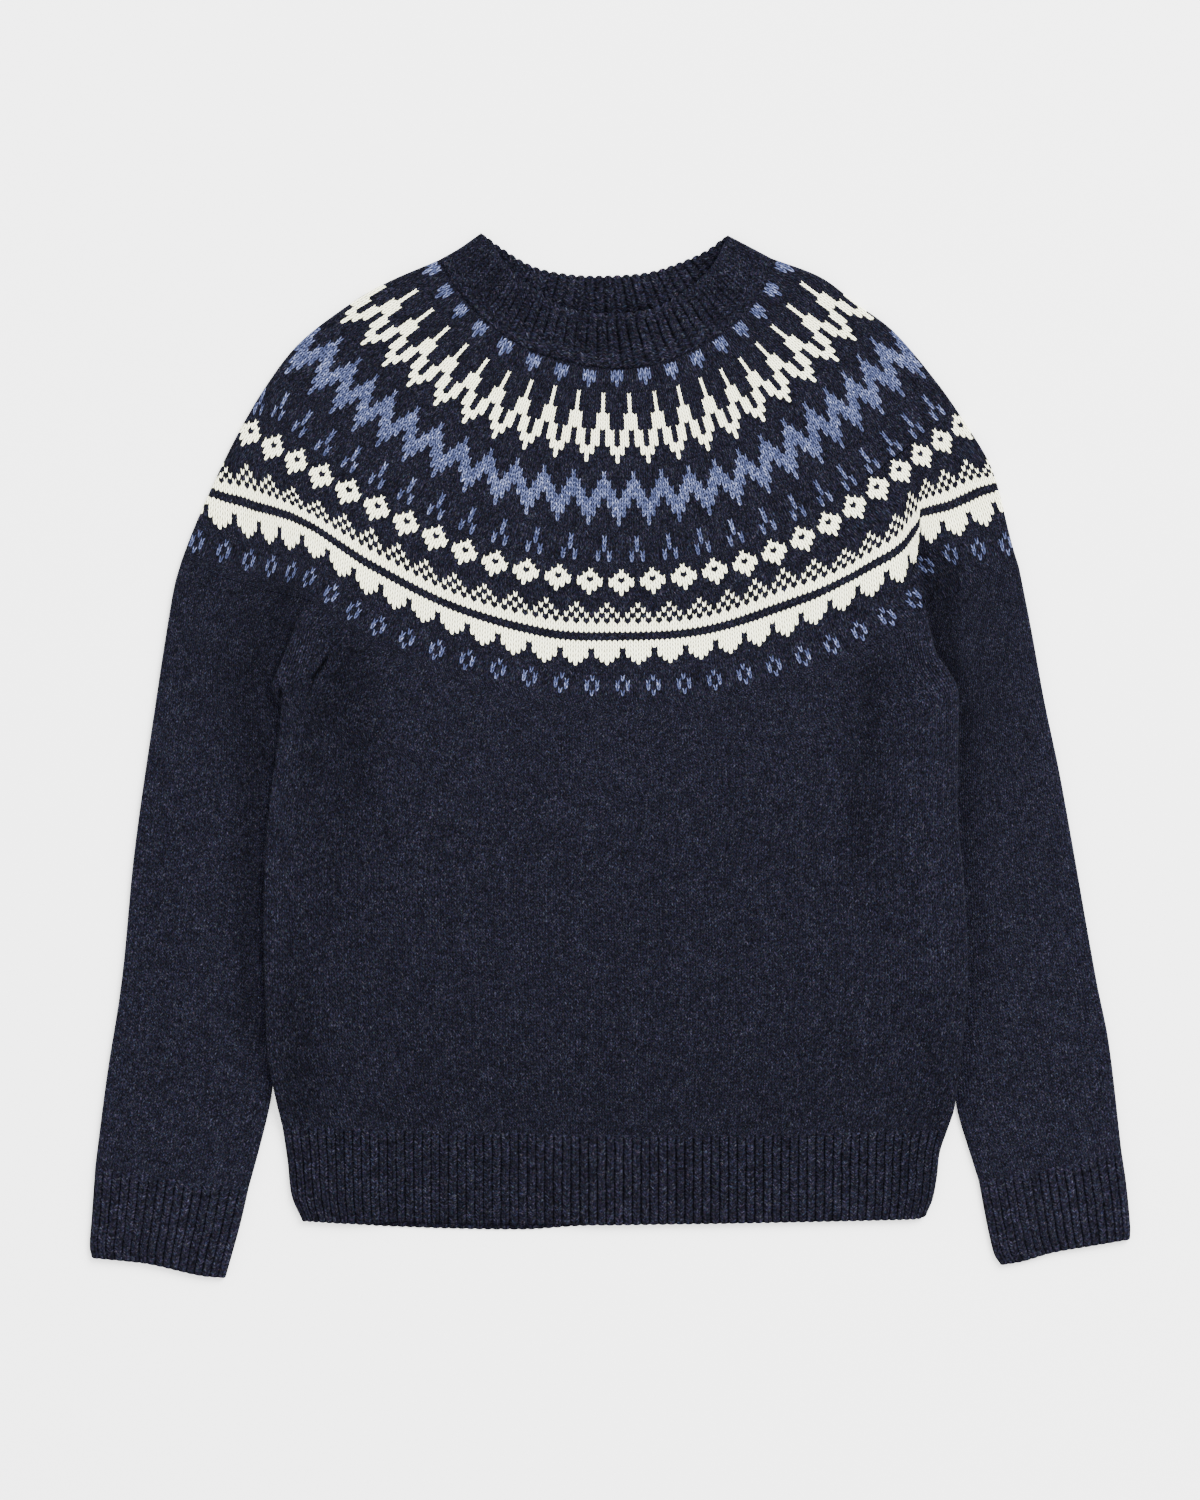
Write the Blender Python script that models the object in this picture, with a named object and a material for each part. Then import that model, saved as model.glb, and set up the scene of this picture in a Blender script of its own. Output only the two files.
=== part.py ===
"""Fair isle jumper: a long-sleeved jumper with a round yoke, laid flat on its back.

Frame: +X to the right as seen from above, +Y towards the neck, +Z up, and the floor is z = 0.
The origin is the middle of the jumper's footprint. Left and right are as seen from above.
Every piece is a wall of knitted cloth with an outer and an inner skin. Tubes (yoke, sleeves,
cuffs, neckband) are flattened, with a rounded fold at each side. The front and back are two
panels that meet along the side folds. The body's side edges lie on the sleeves' inner edges.
Sizes are in millimetres and become metres when a mesh is made.
"""

import bisect
import math

import bmesh
import bpy

MILLIMETRE = 0.001

# Driving sizes
WALL = 1.9  # one layer of knitted cloth
AIR = 1.4  # between the two layers of a flattened tube
TUCKED_AIR = 0.7  # the same where a sleeve's inner edge is pressed under the body
SEAM = 0.35  # gap between neighbouring pieces
RIB_HEIGHT = 0.9  # how far a rib's crest stands above its valley
DEPTH = 2 * WALL + AIR  # a flattened tube from its underside to its top
TUCKED_DEPTH = 2 * WALL + TUCKED_AIR
LIFT = TUCKED_DEPTH + 0.5  # how far a sleeve's edge raises the body that lies on it
LIFT_CLEAR = 3.0  # the body stays raised this far past the sleeve's edge
LIFT_RAMP = 26.0  # and comes down to the floor over this width
HEM_RIBS = 70  # ribs across the front hem
CUFF_RIBS = 15  # ribs across the top of each cuff
FRONT_NECK_RIBS = 34
BACK_NECK_RIBS = 30
RIB_CREST = (0.28, 0.72)  # where a crest starts and ends, as shares of a rib's width
FOLD_ANGLES = (0, 30, 60, 90)  # degrees round half of a side fold
BACK_YOKE_RISE = 26.0  # how much higher the yoke ends on the back than on the front
PEEK = 3.5  # how far the back hem shows below the front hem

# The silhouette and the seams, as points (x, y) from top to bottom or from left to right.
# The folds along the top of the shoulders, from the neck's corners to the yoke's lower edge:
LEFT_NECK_FOLD = [(-91, 365.5), (-106, 355), (-120, 347)]
RIGHT_NECK_FOLD = [(82.5, 364), (96, 357), (113, 348)]
LEFT_YOKE_FOLD = [
    (-120, 347),
    (-158, 330.5),
    (-187, 313),
    (-219.5, 287),
    (-243.5, 255),
    (-263, 221),
    (-278, 190),
    (-292, 158),
    (-300, 137),
]
RIGHT_YOKE_FOLD = [
    (113, 348),
    (147, 335),
    (172, 316.5),
    (198, 297),
    (229, 260.5),
    (248, 233),
    (266.5, 201.5),
    (281, 148),
    (286, 131.5),
]
LEFT_SLEEVE_FOLD = [
    (-300, 137),
    (-305, 119.5),
    (-310, 91),
    (-318, 39),
    (-333, -66),
    (-342, -157),
    (-352.5, -225),
    (-360.5, -287),
]
RIGHT_SLEEVE_FOLD = [
    (286, 131.5),
    (294, 91),
    (303.5, 39),
    (315, -16),
    (340, -157),
    (348.5, -199.5),
    (357.5, -276),
]
LEFT_CUFF_FOLD = [(-360.5, -287), (-363, -323), (-364.4, -343), (-363, -350)]
RIGHT_CUFF_FOLD = [(357.5, -276), (361, -300), (363.8, -330), (363.5, -337)]
LEFT_CUFF_INNER = [(-253, -302), (-259, -328), (-269, -364)]
RIGHT_CUFF_INNER = [(257.5, -297), (264, -331), (268.5, -349), (272.5, -355)]

# The neck: its edges and the seams that join the neckband to the yoke.
FRONT_NECK_EDGE = [
    (-91, 365.5),
    (-82, 354),
    (-67, 334.5),
    (-49.5, 322),
    (-32, 311.5),
    (-4, 307),
    (26.5, 310),
    (43.5, 317.5),
    (60, 329),
    (73, 344),
    (82.5, 364),
]
BACK_NECK_EDGE = [
    (-91, 365.5),
    (-79, 355.5),
    (-53.5, 340.5),
    (-28, 335),
    (-4, 334),
    (26.5, 336.5),
    (50, 344),
    (69, 353),
    (82.5, 364),
]
FRONT_NECK_SEAM = [
    (-120, 347),
    (-110, 329.5),
    (-87, 304),
    (-51.5, 282),
    (0, 271),
    (40, 276.5),
    (72.5, 292.5),
    (98, 314.5),
    (107.5, 329),
    (113, 348),
]
BACK_NECK_SEAM = [(-120, 347), (-87, 321), (-50, 303), (-2, 298), (45, 304), (80, 322), (113, 348)]

# The yoke's lower edge in three stretches: over each sleeve and over the front.
YOKE_EDGE_LEFT = [(-300, 137), (-256, 120.5), (-210, 109)]
YOKE_EDGE_FRONT = [
    (-209.2, 108.4),
    (-181, 85.5),
    (-142.5, 66),
    (-100, 49.5),
    (-55.5, 38),
    (0, 31),
    (55.5, 31.5),
    (93, 40),
    (134, 52.5),
    (172, 68.5),
    (206, 87),
    (220.4, 102.4),
]
YOKE_EDGE_RIGHT = [(221.2, 103), (251.5, 119.5), (286, 131.5)]

# The body's side edges down to the hem ribs, then the hem.
LEFT_BODY_SIDE = [
    (-209.2, 108.4),
    (-218.5, 98),
    (-224.5, 81),
    (-230, 67),
    (-236.5, 50.5),
    (-235.5, 39),
    (-235, 7),
    (-241.5, -66),
    (-242.5, -120),
    (-240, -206),
    (-235, -235),
    (-229.5, -259),
]
RIGHT_BODY_SIDE = [
    (220.4, 102.4),
    (223.5, 88),
    (228, 71.5),
    (236, 60),
    (242, 50),
    (243.3, 39),
    (242.6, -39),
    (247, -89),
    (249.6, -157.5),
    (240.5, -245),
    (235.5, -261.5),
]
HEM_SEAM = [(-229.5, -259), (-110, -262.5), (0, -265), (110, -264.5), (235.5, -261.5)]
LEFT_HEM_SIDE = [(-229.5, -259), (-226, -283), (-223, -308), (-216, -324)]
RIGHT_HEM_SIDE = [(235.5, -261.5), (230.5, -277), (228.5, -294), (223, -322)]
HEM_EDGE = [(-216, -324), (-150, -328), (-63, -330), (-20, -327.5), (94, -325.5), (223, -322)]

# The sleeves' inner edges: beside the body at first, then under it, then free below.
LEFT_SLEEVE_INNER = [
    (-210, 109),
    (-219.6, 97.5),
    (-225.4, 80.5),
    (-228, 66),
    (-226.5, 50),
    (-223.5, 30),
    (-222, -40),
    (-226, -100),
    (-230.5, -160),
    (-234, -205),
    (-236.4, -232),
    (-239, -248),
    (-245.5, -274.5),
    (-253, -302),
]
RIGHT_SLEEVE_INNER = [
    (221.2, 103),
    (224.6, 88),
    (228.4, 74),
    (229.5, 60),
    (228.5, 40),
    (227.5, -40),
    (231, -90),
    (235, -157),
    (238.5, -205),
    (241.3, -240),
    (244, -254),
    (251, -276.5),
    (257.5, -297),
]
LEFT_CUFF_SEAM = [(-360.5, -287), (-306, -296), (-253, -302)]
RIGHT_CUFF_SEAM = [(257.5, -297), (308, -288), (357.5, -276)]
LEFT_CUFF_EDGE = [(-363, -350), (-342, -352), (-322, -354.5), (-286.5, -362.5), (-269, -364)]
RIGHT_CUFF_EDGE = [(272.5, -355), (288, -352.5), (308.5, -346.5), (337, -341.5), (363.5, -337)]

# Where the body comes up over each sleeve, as y: where it starts to rise, where it is fully
# up, where it starts to come down, and where it lies on the floor again.
LEFT_LIFT = (106, 72, -240, -280)
RIGHT_LIFT = (102, 72, -252, -292)

# Soft folds in the cloth that faces up: the line's ends, its half width and its height.
FOLD_COLUMNS = ("start_x", "start_y", "end_x", "end_y", "half_width", "height")
FRONT_FOLDS = [
    (-186, 62, -168, -190, 16, -0.8),
    (184, 40, 186, -170, 16, -0.8),
    (-120, 20, -90, -230, 34, 0.5),
    (60, -20, 90, -240, 40, 0.5),
    (-10, 200, -20, 80, 60, 0.4),
    (-206, 150, -160, 95, 14, 0.7),
    (214, 190, 214, 112, 12, 1.2),
    (228, 190, 236, 118, 12, -0.8),
]
SLEEVE_FOLDS = [
    (-285, 90, -318, -250, 12, 0.6),
    (-262, 60, -290, -230, 9, -0.5),
    (284, 80, 312, -240, 12, 0.6),
    (256, 90, 272, -60, 10, -0.9),
]

NAVY = (0.018, 0.022, 0.040)
YOKE_BLUE = (0.10, 0.12, 0.18)


def ease(value):
    """From 0 to 1 with no corners, as value goes from 0 to 1."""
    value = min(max(value, 0.0), 1.0)
    return value * value * (3 - 2 * value)


def smooth_curve(points):
    """A function of 0 to 1 along a smooth curve through the points."""
    reach = [0.0]
    for (x0, y0), (x1, y1) in zip(points, points[1:]):
        reach.append(reach[-1] + math.hypot(x1 - x0, y1 - y0))

    def slope(i):
        before = max(i - 1, 0)
        after = min(i + 1, len(points) - 1)
        run = reach[after] - reach[before]
        return tuple((points[after][k] - points[before][k]) / run for k in (0, 1))

    slopes = [slope(i) for i in range(len(points))]

    def at(share):
        along = min(max(share, 0.0), 1.0) * reach[-1]
        i = min(max(bisect.bisect_right(reach, along) - 1, 0), len(points) - 2)
        run = reach[i + 1] - reach[i]
        h = (along - reach[i]) / run
        start = 2 * h**3 - 3 * h**2 + 1
        leave = (h**3 - 2 * h**2 + h) * run
        end = 3 * h**2 - 2 * h**3
        arrive = (h**3 - h**2) * run
        return tuple(
            start * points[i][k] + leave * slopes[i][k] + end * points[i + 1][k] + arrive * slopes[i + 1][k]
            for k in (0, 1)
        )

    return at


def joined(*curves):
    """One curve made of several, each with a share of 0 to 1 equal to its share of the length."""
    lengths = [math.dist(curve(0), curve(1)) for curve in curves]
    ends = [sum(lengths[: i + 1]) / sum(lengths) for i in range(len(curves))]
    starts = [0.0] + ends[:-1]

    def at(share):
        for curve, start, end in zip(curves, starts, ends):
            if share <= end or end == ends[-1]:
                return curve((share - start) / (end - start))

    at.joins = ends[:-1]
    return at


def patch(top, bottom, left, right):
    """The plan between four edges, as a function of t (left to right) and s (top to bottom)."""

    def at(t, s):
        place = []
        for k in (0, 1):
            across = (1 - t) * left(s)[k] + t * right(s)[k]
            along = (1 - s) * top(t)[k] + s * bottom(t)[k]
            upper = (1 - t) * top(0)[k] + t * top(1)[k]
            lower = (1 - t) * bottom(0)[k] + t * bottom(1)[k]
            place.append(across + along - (1 - s) * upper - s * lower)
        return tuple(place)

    return at


def reading(table, y):
    """The x of a top-to-bottom table at this y, on straight lines between its points."""
    if y >= table[0][1]:
        return table[0][0]
    for (x0, y0), (x1, y1) in zip(table, table[1:]):
        if y >= y1:
            return x0 + (x1 - x0) * (y0 - y) / (y0 - y1)
    return table[-1][0]


def lift(x, y):
    """How far a sleeve's edge holds the cloth up here."""
    total = 0.0
    for table, heights, inwards in (
        (LEFT_SLEEVE_INNER, LEFT_LIFT, 1),
        (RIGHT_SLEEVE_INNER, RIGHT_LIFT, -1),
    ):
        start, full, end_full, end = heights
        down = ease((start - y) / (start - full)) * ease((y - end) / (end_full - end))
        past = inwards * (x - reading(table, y)) - LIFT_CLEAR
        total += LIFT * down * (1 - ease(past / LIFT_RAMP))
    return total


def soft_folds(folds, x, y):
    """The height of the soft folds at this place."""
    height = 0.0
    for x0, y0, x1, y1, half_width, rise in folds:
        length = math.hypot(x1 - x0, y1 - y0)
        along = ((x - x0) * (x1 - x0) + (y - y0) * (y1 - y0)) / length
        aside = ((x - x0) * (y1 - y0) - (y - y0) * (x1 - x0)) / length
        fade = ease((along + half_width) / (2 * half_width))
        fade *= ease((length + half_width - along) / (2 * half_width))
        height += rise * fade * math.exp(-((aside / half_width) ** 2))
    return height


def no_folds(x, y):
    return 0.0


def front_folds(x, y):
    return soft_folds(FRONT_FOLDS, x, y)


def sleeve_folds(x, y):
    return soft_folds(SLEEVE_FOLDS, x, y)


def spread(count):
    """Stations across a layer, evenly spaced between its side folds, each with no relief."""
    return [(i / (count + 1), 0.0) for i in range(1, count + 1)]


def between_sides(width, near, count):
    """Stations at these distances from both side folds, and some evenly spaced between."""
    clear = width - DEPTH
    left = [inset / clear for inset in near]
    middle = [left[-1] + (1 - 2 * left[-1]) * i / (count + 1) for i in range(1, count + 1)]
    right = [1 - share for share in reversed(left)]
    return [(share, 0.0) for share in left + middle + right]


def across(stations, width):
    """Shares of the whole width, folds included, for stations that lie between the folds."""
    fold = DEPTH / 2 / width
    return [fold + share * (1 - 2 * fold) for share, height in stations]


def ribs(count):
    """Stations across a ribbed layer: a valley, then a crest's two edges, for each rib."""
    stations = [(0.0, 0.0)]
    for i in range(count):
        stations += [((i + RIB_CREST[0]) / count, RIB_HEIGHT)]
        stations += [((i + RIB_CREST[1]) / count, RIB_HEIGHT)]
        stations += [((i + 1) / count, 0.0)]
    return stations


def layer(plan, other, s, stations, skin, facing, depths, folds):
    """One skin of one layer at row s, from its left fold to its right fold.

    other is the plan of the layer that shares its side folds. skin is 0 for the outer skin
    and WALL for the inner one. facing is 1 for the layer that faces up and -1 for the one
    on the floor. Each point comes with its share across.
    """
    width = math.dist(plan(0, s), plan(1, s))
    left_radius = depths[0] / 2
    right_radius = depths[1] / 2
    marks = []
    for angle in FOLD_ANGLES:
        turn = math.radians(angle)
        inset = left_radius - (left_radius - skin) * math.cos(turn)
        marks.append((inset / width, math.sin(turn), 0.0))
    first = left_radius / width
    last = 1 - right_radius / width
    for share, height in stations:
        if 0 < share < 1:
            marks.append((first + share * (last - first), 1.0, height))
    for angle in reversed(FOLD_ANGLES):
        turn = math.radians(angle)
        inset = right_radius - (right_radius - skin) * math.cos(turn)
        marks.append((1 - inset / width, math.sin(turn), 0.0))
    points = []
    for t, turned, height in marks:
        radius = left_radius + (right_radius - left_radius) * t
        own = 0.5 + 0.5 * turned
        x, y = (own * a + (1 - own) * b for a, b in zip(plan(t, s), other(t, s)))
        z = radius + facing * turned * (radius - skin) + lift(x, y) * folds.lifted
        z += height
        if facing > 0:
            z += turned * folds.shape(x, y)
        points.append((t, (x, y, z)))
    return points


class Folds:
    """Which soft folds a piece has, and whether the sleeves raise it."""

    def __init__(self, shape, lifted):
        self.shape = shape
        self.lifted = lifted


def zip_strip(mesh, first, second):
    """Triangles between two rows of (share, vertex) whose points needn't match."""
    i = j = 0
    while i < len(first) - 1 or j < len(second) - 1:
        forward = j == len(second) - 1
        if not forward and i < len(first) - 1:
            forward = first[i + 1][0] <= second[j + 1][0]
        if forward:
            mesh.faces.new((first[i][1], first[i + 1][1], second[j][1]))
            i += 1
        else:
            mesh.faces.new((first[i][1], second[j + 1][1], second[j][1]))
            j += 1


def skin_faces(mesh, rows, closed):
    """Quads over a grid of (share, vertex) rows."""
    for upper, lower in zip(rows, rows[1:]):
        count = len(upper)
        for i in range(count if closed else count - 1):
            k = (i + 1) % count
            mesh.faces.new((upper[i][1], upper[k][1], lower[k][1], lower[i][1]))


def make_wall(name, outer, inner, closed, colour):
    """A solid wall between an outer and an inner skin, each a grid of (share, point) rows."""
    mesh = bmesh.new()
    skins = []
    for grid in (outer, inner):
        rows = []
        for row in grid:
            made = []
            for share, point in row:
                made.append((share, mesh.verts.new([c * MILLIMETRE for c in point])))
            rows.append(made)
        skin_faces(mesh, rows, closed)
        skins.append(rows)
    for end in (0, -1):
        edges = [list(rows[end]) for rows in skins]
        if closed:
            for edge in edges:
                edge.append((2.0, edge[0][1]))
        zip_strip(mesh, edges[0], edges[1])
        if not closed:
            sides = []
            for rows in skins:
                sides.append([(i / (len(rows) - 1), row[end][1]) for i, row in enumerate(rows)])
            zip_strip(mesh, sides[0], sides[1])
    bmesh.ops.recalc_face_normals(mesh, faces=mesh.faces)
    data = bpy.data.meshes.new(name)
    mesh.to_mesh(data)
    mesh.free()
    data.shade_smooth()
    data.set_sharp_from_angle(angle=math.radians(50))
    piece = bpy.data.objects.new(name, data)
    piece.data.materials.append(cloth_material(name + "_wool", colour))
    jumper.objects.link(piece)
    return piece


def cloth_material(name, colour):
    material = bpy.data.materials.new(name)
    material.use_nodes = True
    shader = material.node_tree.nodes["Principled BSDF"]
    shader.inputs["Base Color"].default_value = (*colour, 1)
    shader.inputs["Roughness"].default_value = 0.95
    shader.inputs["Metallic"].default_value = 0.0
    return material


def rows_between(start, end, count):
    return [start + (end - start) * i / count for i in range(count + 1)]


def make_tube(name, front, back, rows, columns, colour, depths=(DEPTH, DEPTH), folds=None):
    """A flattened tube. columns holds the stations of its four layers of skin."""
    folds = folds or Folds(no_folds, 0)
    grids = []
    for skin, top, bottom in ((0.0, columns["outer_top"], columns["outer_bottom"]),
                              (WALL, columns["inner_top"], columns["inner_bottom"])):
        grid = []
        for s in rows:
            over = layer(front, back, s, top, skin, 1, depths, folds)
            under = layer(back, front, s, bottom, skin, -1, depths, folds)
            loop = list(over)
            for share, point in reversed(under[1:-1]):
                loop.append((2 - share, point))
            grid.append(loop)
        grids.append(grid)
    return make_wall(name, grids[0], grids[1], True, colour)


def make_panel(name, plan, rows, columns, facing, colour, folds):
    """Half of a flattened tube, which ends in the middle of its side folds."""
    grids = []
    for skin, stations in ((0.0, columns["outer"]), (WALL, columns["inner"])):
        grid = []
        for s in rows:
            row = layer(plan, plan, s, stations, skin, facing, (DEPTH, DEPTH), folds)
            for end in (0, -1):
                share, (x, y, z) = row[end]
                row[end] = (share, (x, y, z + facing * SEAM / 2))
            grid.append(row)
        grids.append(grid)
    return make_wall(name, grids[0], grids[1], False, colour)


def raised_back_edge(share):
    """The yoke's lower edge on the back, which is higher than on the front."""
    x, y = smooth_curve(YOKE_EDGE_FRONT)(share)
    return (x, y + BACK_YOKE_RISE * math.sin(math.pi * share) ** 1.5)


def front_hem_edge(share):
    """The front hem's lower edge, which leaves the back hem showing over its left half."""
    x, y = smooth_curve(HEM_EDGE)(share)
    shows = ease((share - 0.06) / 0.12) * ease((0.50 - share) / 0.16)
    return (x, y + PEEK * shows)


for leftover in list(bpy.data.objects):
    bpy.data.objects.remove(leftover, do_unlink=True)
jumper = bpy.data.collections.new("fair_isle_jumper")
bpy.context.scene.collection.children.link(jumper)

# Neckband: a ribbed ring. Its back layer shows its inside, so that is ribbed too.
neck_left = smooth_curve(LEFT_NECK_FOLD)
neck_right = smooth_curve(RIGHT_NECK_FOLD)
front_neck = patch(smooth_curve(FRONT_NECK_EDGE), smooth_curve(FRONT_NECK_SEAM), neck_left, neck_right)
back_neck = patch(smooth_curve(BACK_NECK_EDGE), smooth_curve(BACK_NECK_SEAM), neck_left, neck_right)
make_tube(
    "neckband",
    front_neck,
    back_neck,
    rows_between(0.0, 1 - SEAM / 28, 3),
    {
        "outer_top": ribs(FRONT_NECK_RIBS),
        "outer_bottom": spread(32),
        "inner_top": spread(32),
        "inner_bottom": ribs(BACK_NECK_RIBS),
    },
    NAVY,
)

# Yoke: one round piece over both shoulders.
edge_left = smooth_curve(YOKE_EDGE_LEFT)
edge_front = smooth_curve(YOKE_EDGE_FRONT)
edge_right = smooth_curve(YOKE_EDGE_RIGHT)
left_gap = smooth_curve([YOKE_EDGE_LEFT[-1], YOKE_EDGE_FRONT[0]])
right_gap = smooth_curve([YOKE_EDGE_FRONT[-1], YOKE_EDGE_RIGHT[0]])
front_edge = joined(edge_left, left_gap, edge_front, right_gap, edge_right)
back_edge = joined(edge_left, left_gap, raised_back_edge, right_gap, edge_right)
yoke_left = smooth_curve(LEFT_YOKE_FOLD)
yoke_right = smooth_curve(RIGHT_YOKE_FOLD)
front_yoke = patch(smooth_curve(FRONT_NECK_SEAM), front_edge, yoke_left, yoke_right)
back_yoke = patch(smooth_curve(BACK_NECK_SEAM), back_edge, yoke_left, yoke_right)
SLEEVE_COLUMNS = spread(5)
NEAR_THE_SIDE = (5, 12, 20, 30, 42)
BODY_COLUMNS = between_sides(math.dist(edge_front(0), edge_front(1)), NEAR_THE_SIDE, 11)
left_end, body_start, body_end, right_start = front_edge.joins
yoke_shares = [left_end * t for t in across(SLEEVE_COLUMNS, math.dist(edge_left(0), edge_left(1)))]
yoke_shares += [left_end, body_start]
for t in across(BODY_COLUMNS, math.dist(edge_front(0), edge_front(1))):
    yoke_shares += [body_start + (body_end - body_start) * t]
yoke_shares += [body_end, right_start]
for t in across(SLEEVE_COLUMNS, math.dist(edge_right(0), edge_right(1))):
    yoke_shares += [right_start + (1 - right_start) * t]
yoke_fold = DEPTH / 2 / math.dist(front_edge(0), front_edge(1))
YOKE_COLUMNS = [((t - yoke_fold) / (1 - 2 * yoke_fold), 0.0) for t in yoke_shares]
make_tube(
    "yoke",
    front_yoke,
    back_yoke,
    rows_between(0.0, 1.0, 7),
    {
        "outer_top": YOKE_COLUMNS,
        "outer_bottom": YOKE_COLUMNS,
        "inner_top": YOKE_COLUMNS,
        "inner_bottom": YOKE_COLUMNS,
    },
    YOKE_BLUE,
    folds=Folds(front_folds, 1),
)

# Front and back: two panels that meet along the side folds and rise over the sleeves.
side_left = smooth_curve(LEFT_BODY_SIDE)
side_right = smooth_curve(RIGHT_BODY_SIDE)
hem_seam = smooth_curve(HEM_SEAM)
front_plan = patch(edge_front, hem_seam, side_left, side_right)
back_plan = patch(raised_back_edge, hem_seam, side_left, side_right)
make_panel(
    "body_front",
    front_plan,
    rows_between(SEAM / 140, 1 - SEAM / 290, 15),
    {"outer": BODY_COLUMNS, "inner": BODY_COLUMNS},
    1,
    NAVY,
    Folds(front_folds, 1),
)
make_panel(
    "body_back",
    back_plan,
    rows_between(SEAM / 140, 1 - SEAM / 290, 15),
    {"outer": BODY_COLUMNS, "inner": BODY_COLUMNS},
    -1,
    NAVY,
    Folds(no_folds, 1),
)

# Hem ribs: the front one is ribbed on top, and the back one rests on the floor.
hem_left = smooth_curve(LEFT_HEM_SIDE)
hem_right = smooth_curve(RIGHT_HEM_SIDE)
front_hem = patch(hem_seam, front_hem_edge, hem_left, hem_right)
back_hem = patch(hem_seam, smooth_curve(HEM_EDGE), hem_left, hem_right)
make_panel(
    "hem_front",
    front_hem,
    rows_between(SEAM / 60, 1.0, 3),
    {"outer": ribs(HEM_RIBS), "inner": spread(24)},
    1,
    NAVY,
    Folds(no_folds, 1),
)
make_panel(
    "hem_back",
    back_hem,
    rows_between(SEAM / 60, 1.0, 3),
    {"outer": spread(24), "inner": spread(24)},
    -1,
    NAVY,
    Folds(no_folds, 1),
)

# Sleeves and cuffs: flattened tubes, thinner where their inner edges lie under the body.
PLAIN_SLEEVE = {
    "outer_top": SLEEVE_COLUMNS,
    "outer_bottom": SLEEVE_COLUMNS,
    "inner_top": SLEEVE_COLUMNS,
    "inner_bottom": SLEEVE_COLUMNS,
}
RIBBED_CUFF = {
    "outer_top": ribs(CUFF_RIBS),
    "outer_bottom": spread(5),
    "inner_top": spread(5),
    "inner_bottom": spread(5),
}
for side, top, fold, inner, cuff_fold, cuff_inner, seam, edge in (
    (
        "left",
        edge_left,
        LEFT_SLEEVE_FOLD,
        LEFT_SLEEVE_INNER,
        LEFT_CUFF_FOLD,
        LEFT_CUFF_INNER,
        LEFT_CUFF_SEAM,
        LEFT_CUFF_EDGE,
    ),
    (
        "right",
        edge_right,
        RIGHT_SLEEVE_FOLD,
        RIGHT_SLEEVE_INNER,
        RIGHT_CUFF_FOLD,
        RIGHT_CUFF_INNER,
        RIGHT_CUFF_SEAM,
        RIGHT_CUFF_EDGE,
    ),
):
    sides = [smooth_curve(fold), smooth_curve(inner)]
    cuff_sides = [smooth_curve(cuff_fold), smooth_curve(cuff_inner)]
    depths = (DEPTH, TUCKED_DEPTH)
    if side == "right":
        sides.reverse()
        cuff_sides.reverse()
        depths = (TUCKED_DEPTH, DEPTH)
    sleeve = patch(top, smooth_curve(seam), *sides)
    make_tube(
        "sleeve_" + side,
        sleeve,
        sleeve,
        rows_between(SEAM / 400, 1 - SEAM / 400, 15),
        PLAIN_SLEEVE,
        NAVY,
        depths,
        Folds(sleeve_folds, 0),
    )
    cuff = patch(smooth_curve(seam), smooth_curve(edge), *cuff_sides)
    make_tube(
        "cuff_" + side,
        cuff,
        cuff,
        rows_between(SEAM / 60, 1.0, 3),
        RIBBED_CUFF,
        NAVY,
        depths,
    )
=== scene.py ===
"""Fair isle jumper, laid flat on its back: the knitted surfaces that are seen.

Frame: +X to the right as seen from above, +Y towards the neck, +Z up, and the floor is z = 0.
Sizes are in millimetres and become metres when a mesh is made. Left and right are as seen.
The plan of every piece follows the solids' own sizes, apart from the hem's rounded right corner
and the front's left edge, which steps in below the underarm. The yoke is made stitch by stitch:
each stitch is two legs of a V, and each leg takes its yarn from a chart.
"""

import bisect
import math
from collections import namedtuple

import bpy
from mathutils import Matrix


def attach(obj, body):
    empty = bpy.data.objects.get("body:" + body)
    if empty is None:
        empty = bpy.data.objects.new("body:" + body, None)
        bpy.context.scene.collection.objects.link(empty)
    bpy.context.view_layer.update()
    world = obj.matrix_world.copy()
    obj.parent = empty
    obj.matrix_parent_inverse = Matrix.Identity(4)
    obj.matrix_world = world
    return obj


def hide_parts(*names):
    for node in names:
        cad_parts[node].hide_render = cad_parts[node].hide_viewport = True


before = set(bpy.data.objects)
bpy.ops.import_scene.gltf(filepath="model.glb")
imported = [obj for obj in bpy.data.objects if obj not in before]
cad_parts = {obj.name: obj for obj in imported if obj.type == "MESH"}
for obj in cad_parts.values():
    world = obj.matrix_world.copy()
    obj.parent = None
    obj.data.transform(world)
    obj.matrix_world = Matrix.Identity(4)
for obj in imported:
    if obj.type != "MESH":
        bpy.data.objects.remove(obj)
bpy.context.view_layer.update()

MILLIMETRE = 0.001

# Sizes
WALL = 1.9
DEPTH = 5.2  # a flattened tube's, from its lower skin to its upper one
TUCKED_DEPTH = 4.5  # a sleeve's at its inner side, below the front
LIFT = 5.0  # how high a sleeve holds up the cloth that lies on it
LIFT_CLEAR = 3.0  # how far past the sleeve's edge the cloth begins to come down
LIFT_RAMP = 26.0  # how far from there it lies flat again
RIB_HEIGHT = 0.9
CREST_REACH = 0.42  # how far a rib's crest reaches from its middle, as a share of a rib
FRONT_NECK_RIBS = 34
BACK_NECK_RIBS = 30
BACK_YOKE_RISE = 26.0  # how much higher the yoke ends on the back
PEEK = 4.5  # how much of the back hem shows below the front one
HEM_LENGTH = 62.0  # of the hems' and cuffs' ribs
NECK_LENGTH = 36.0

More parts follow.
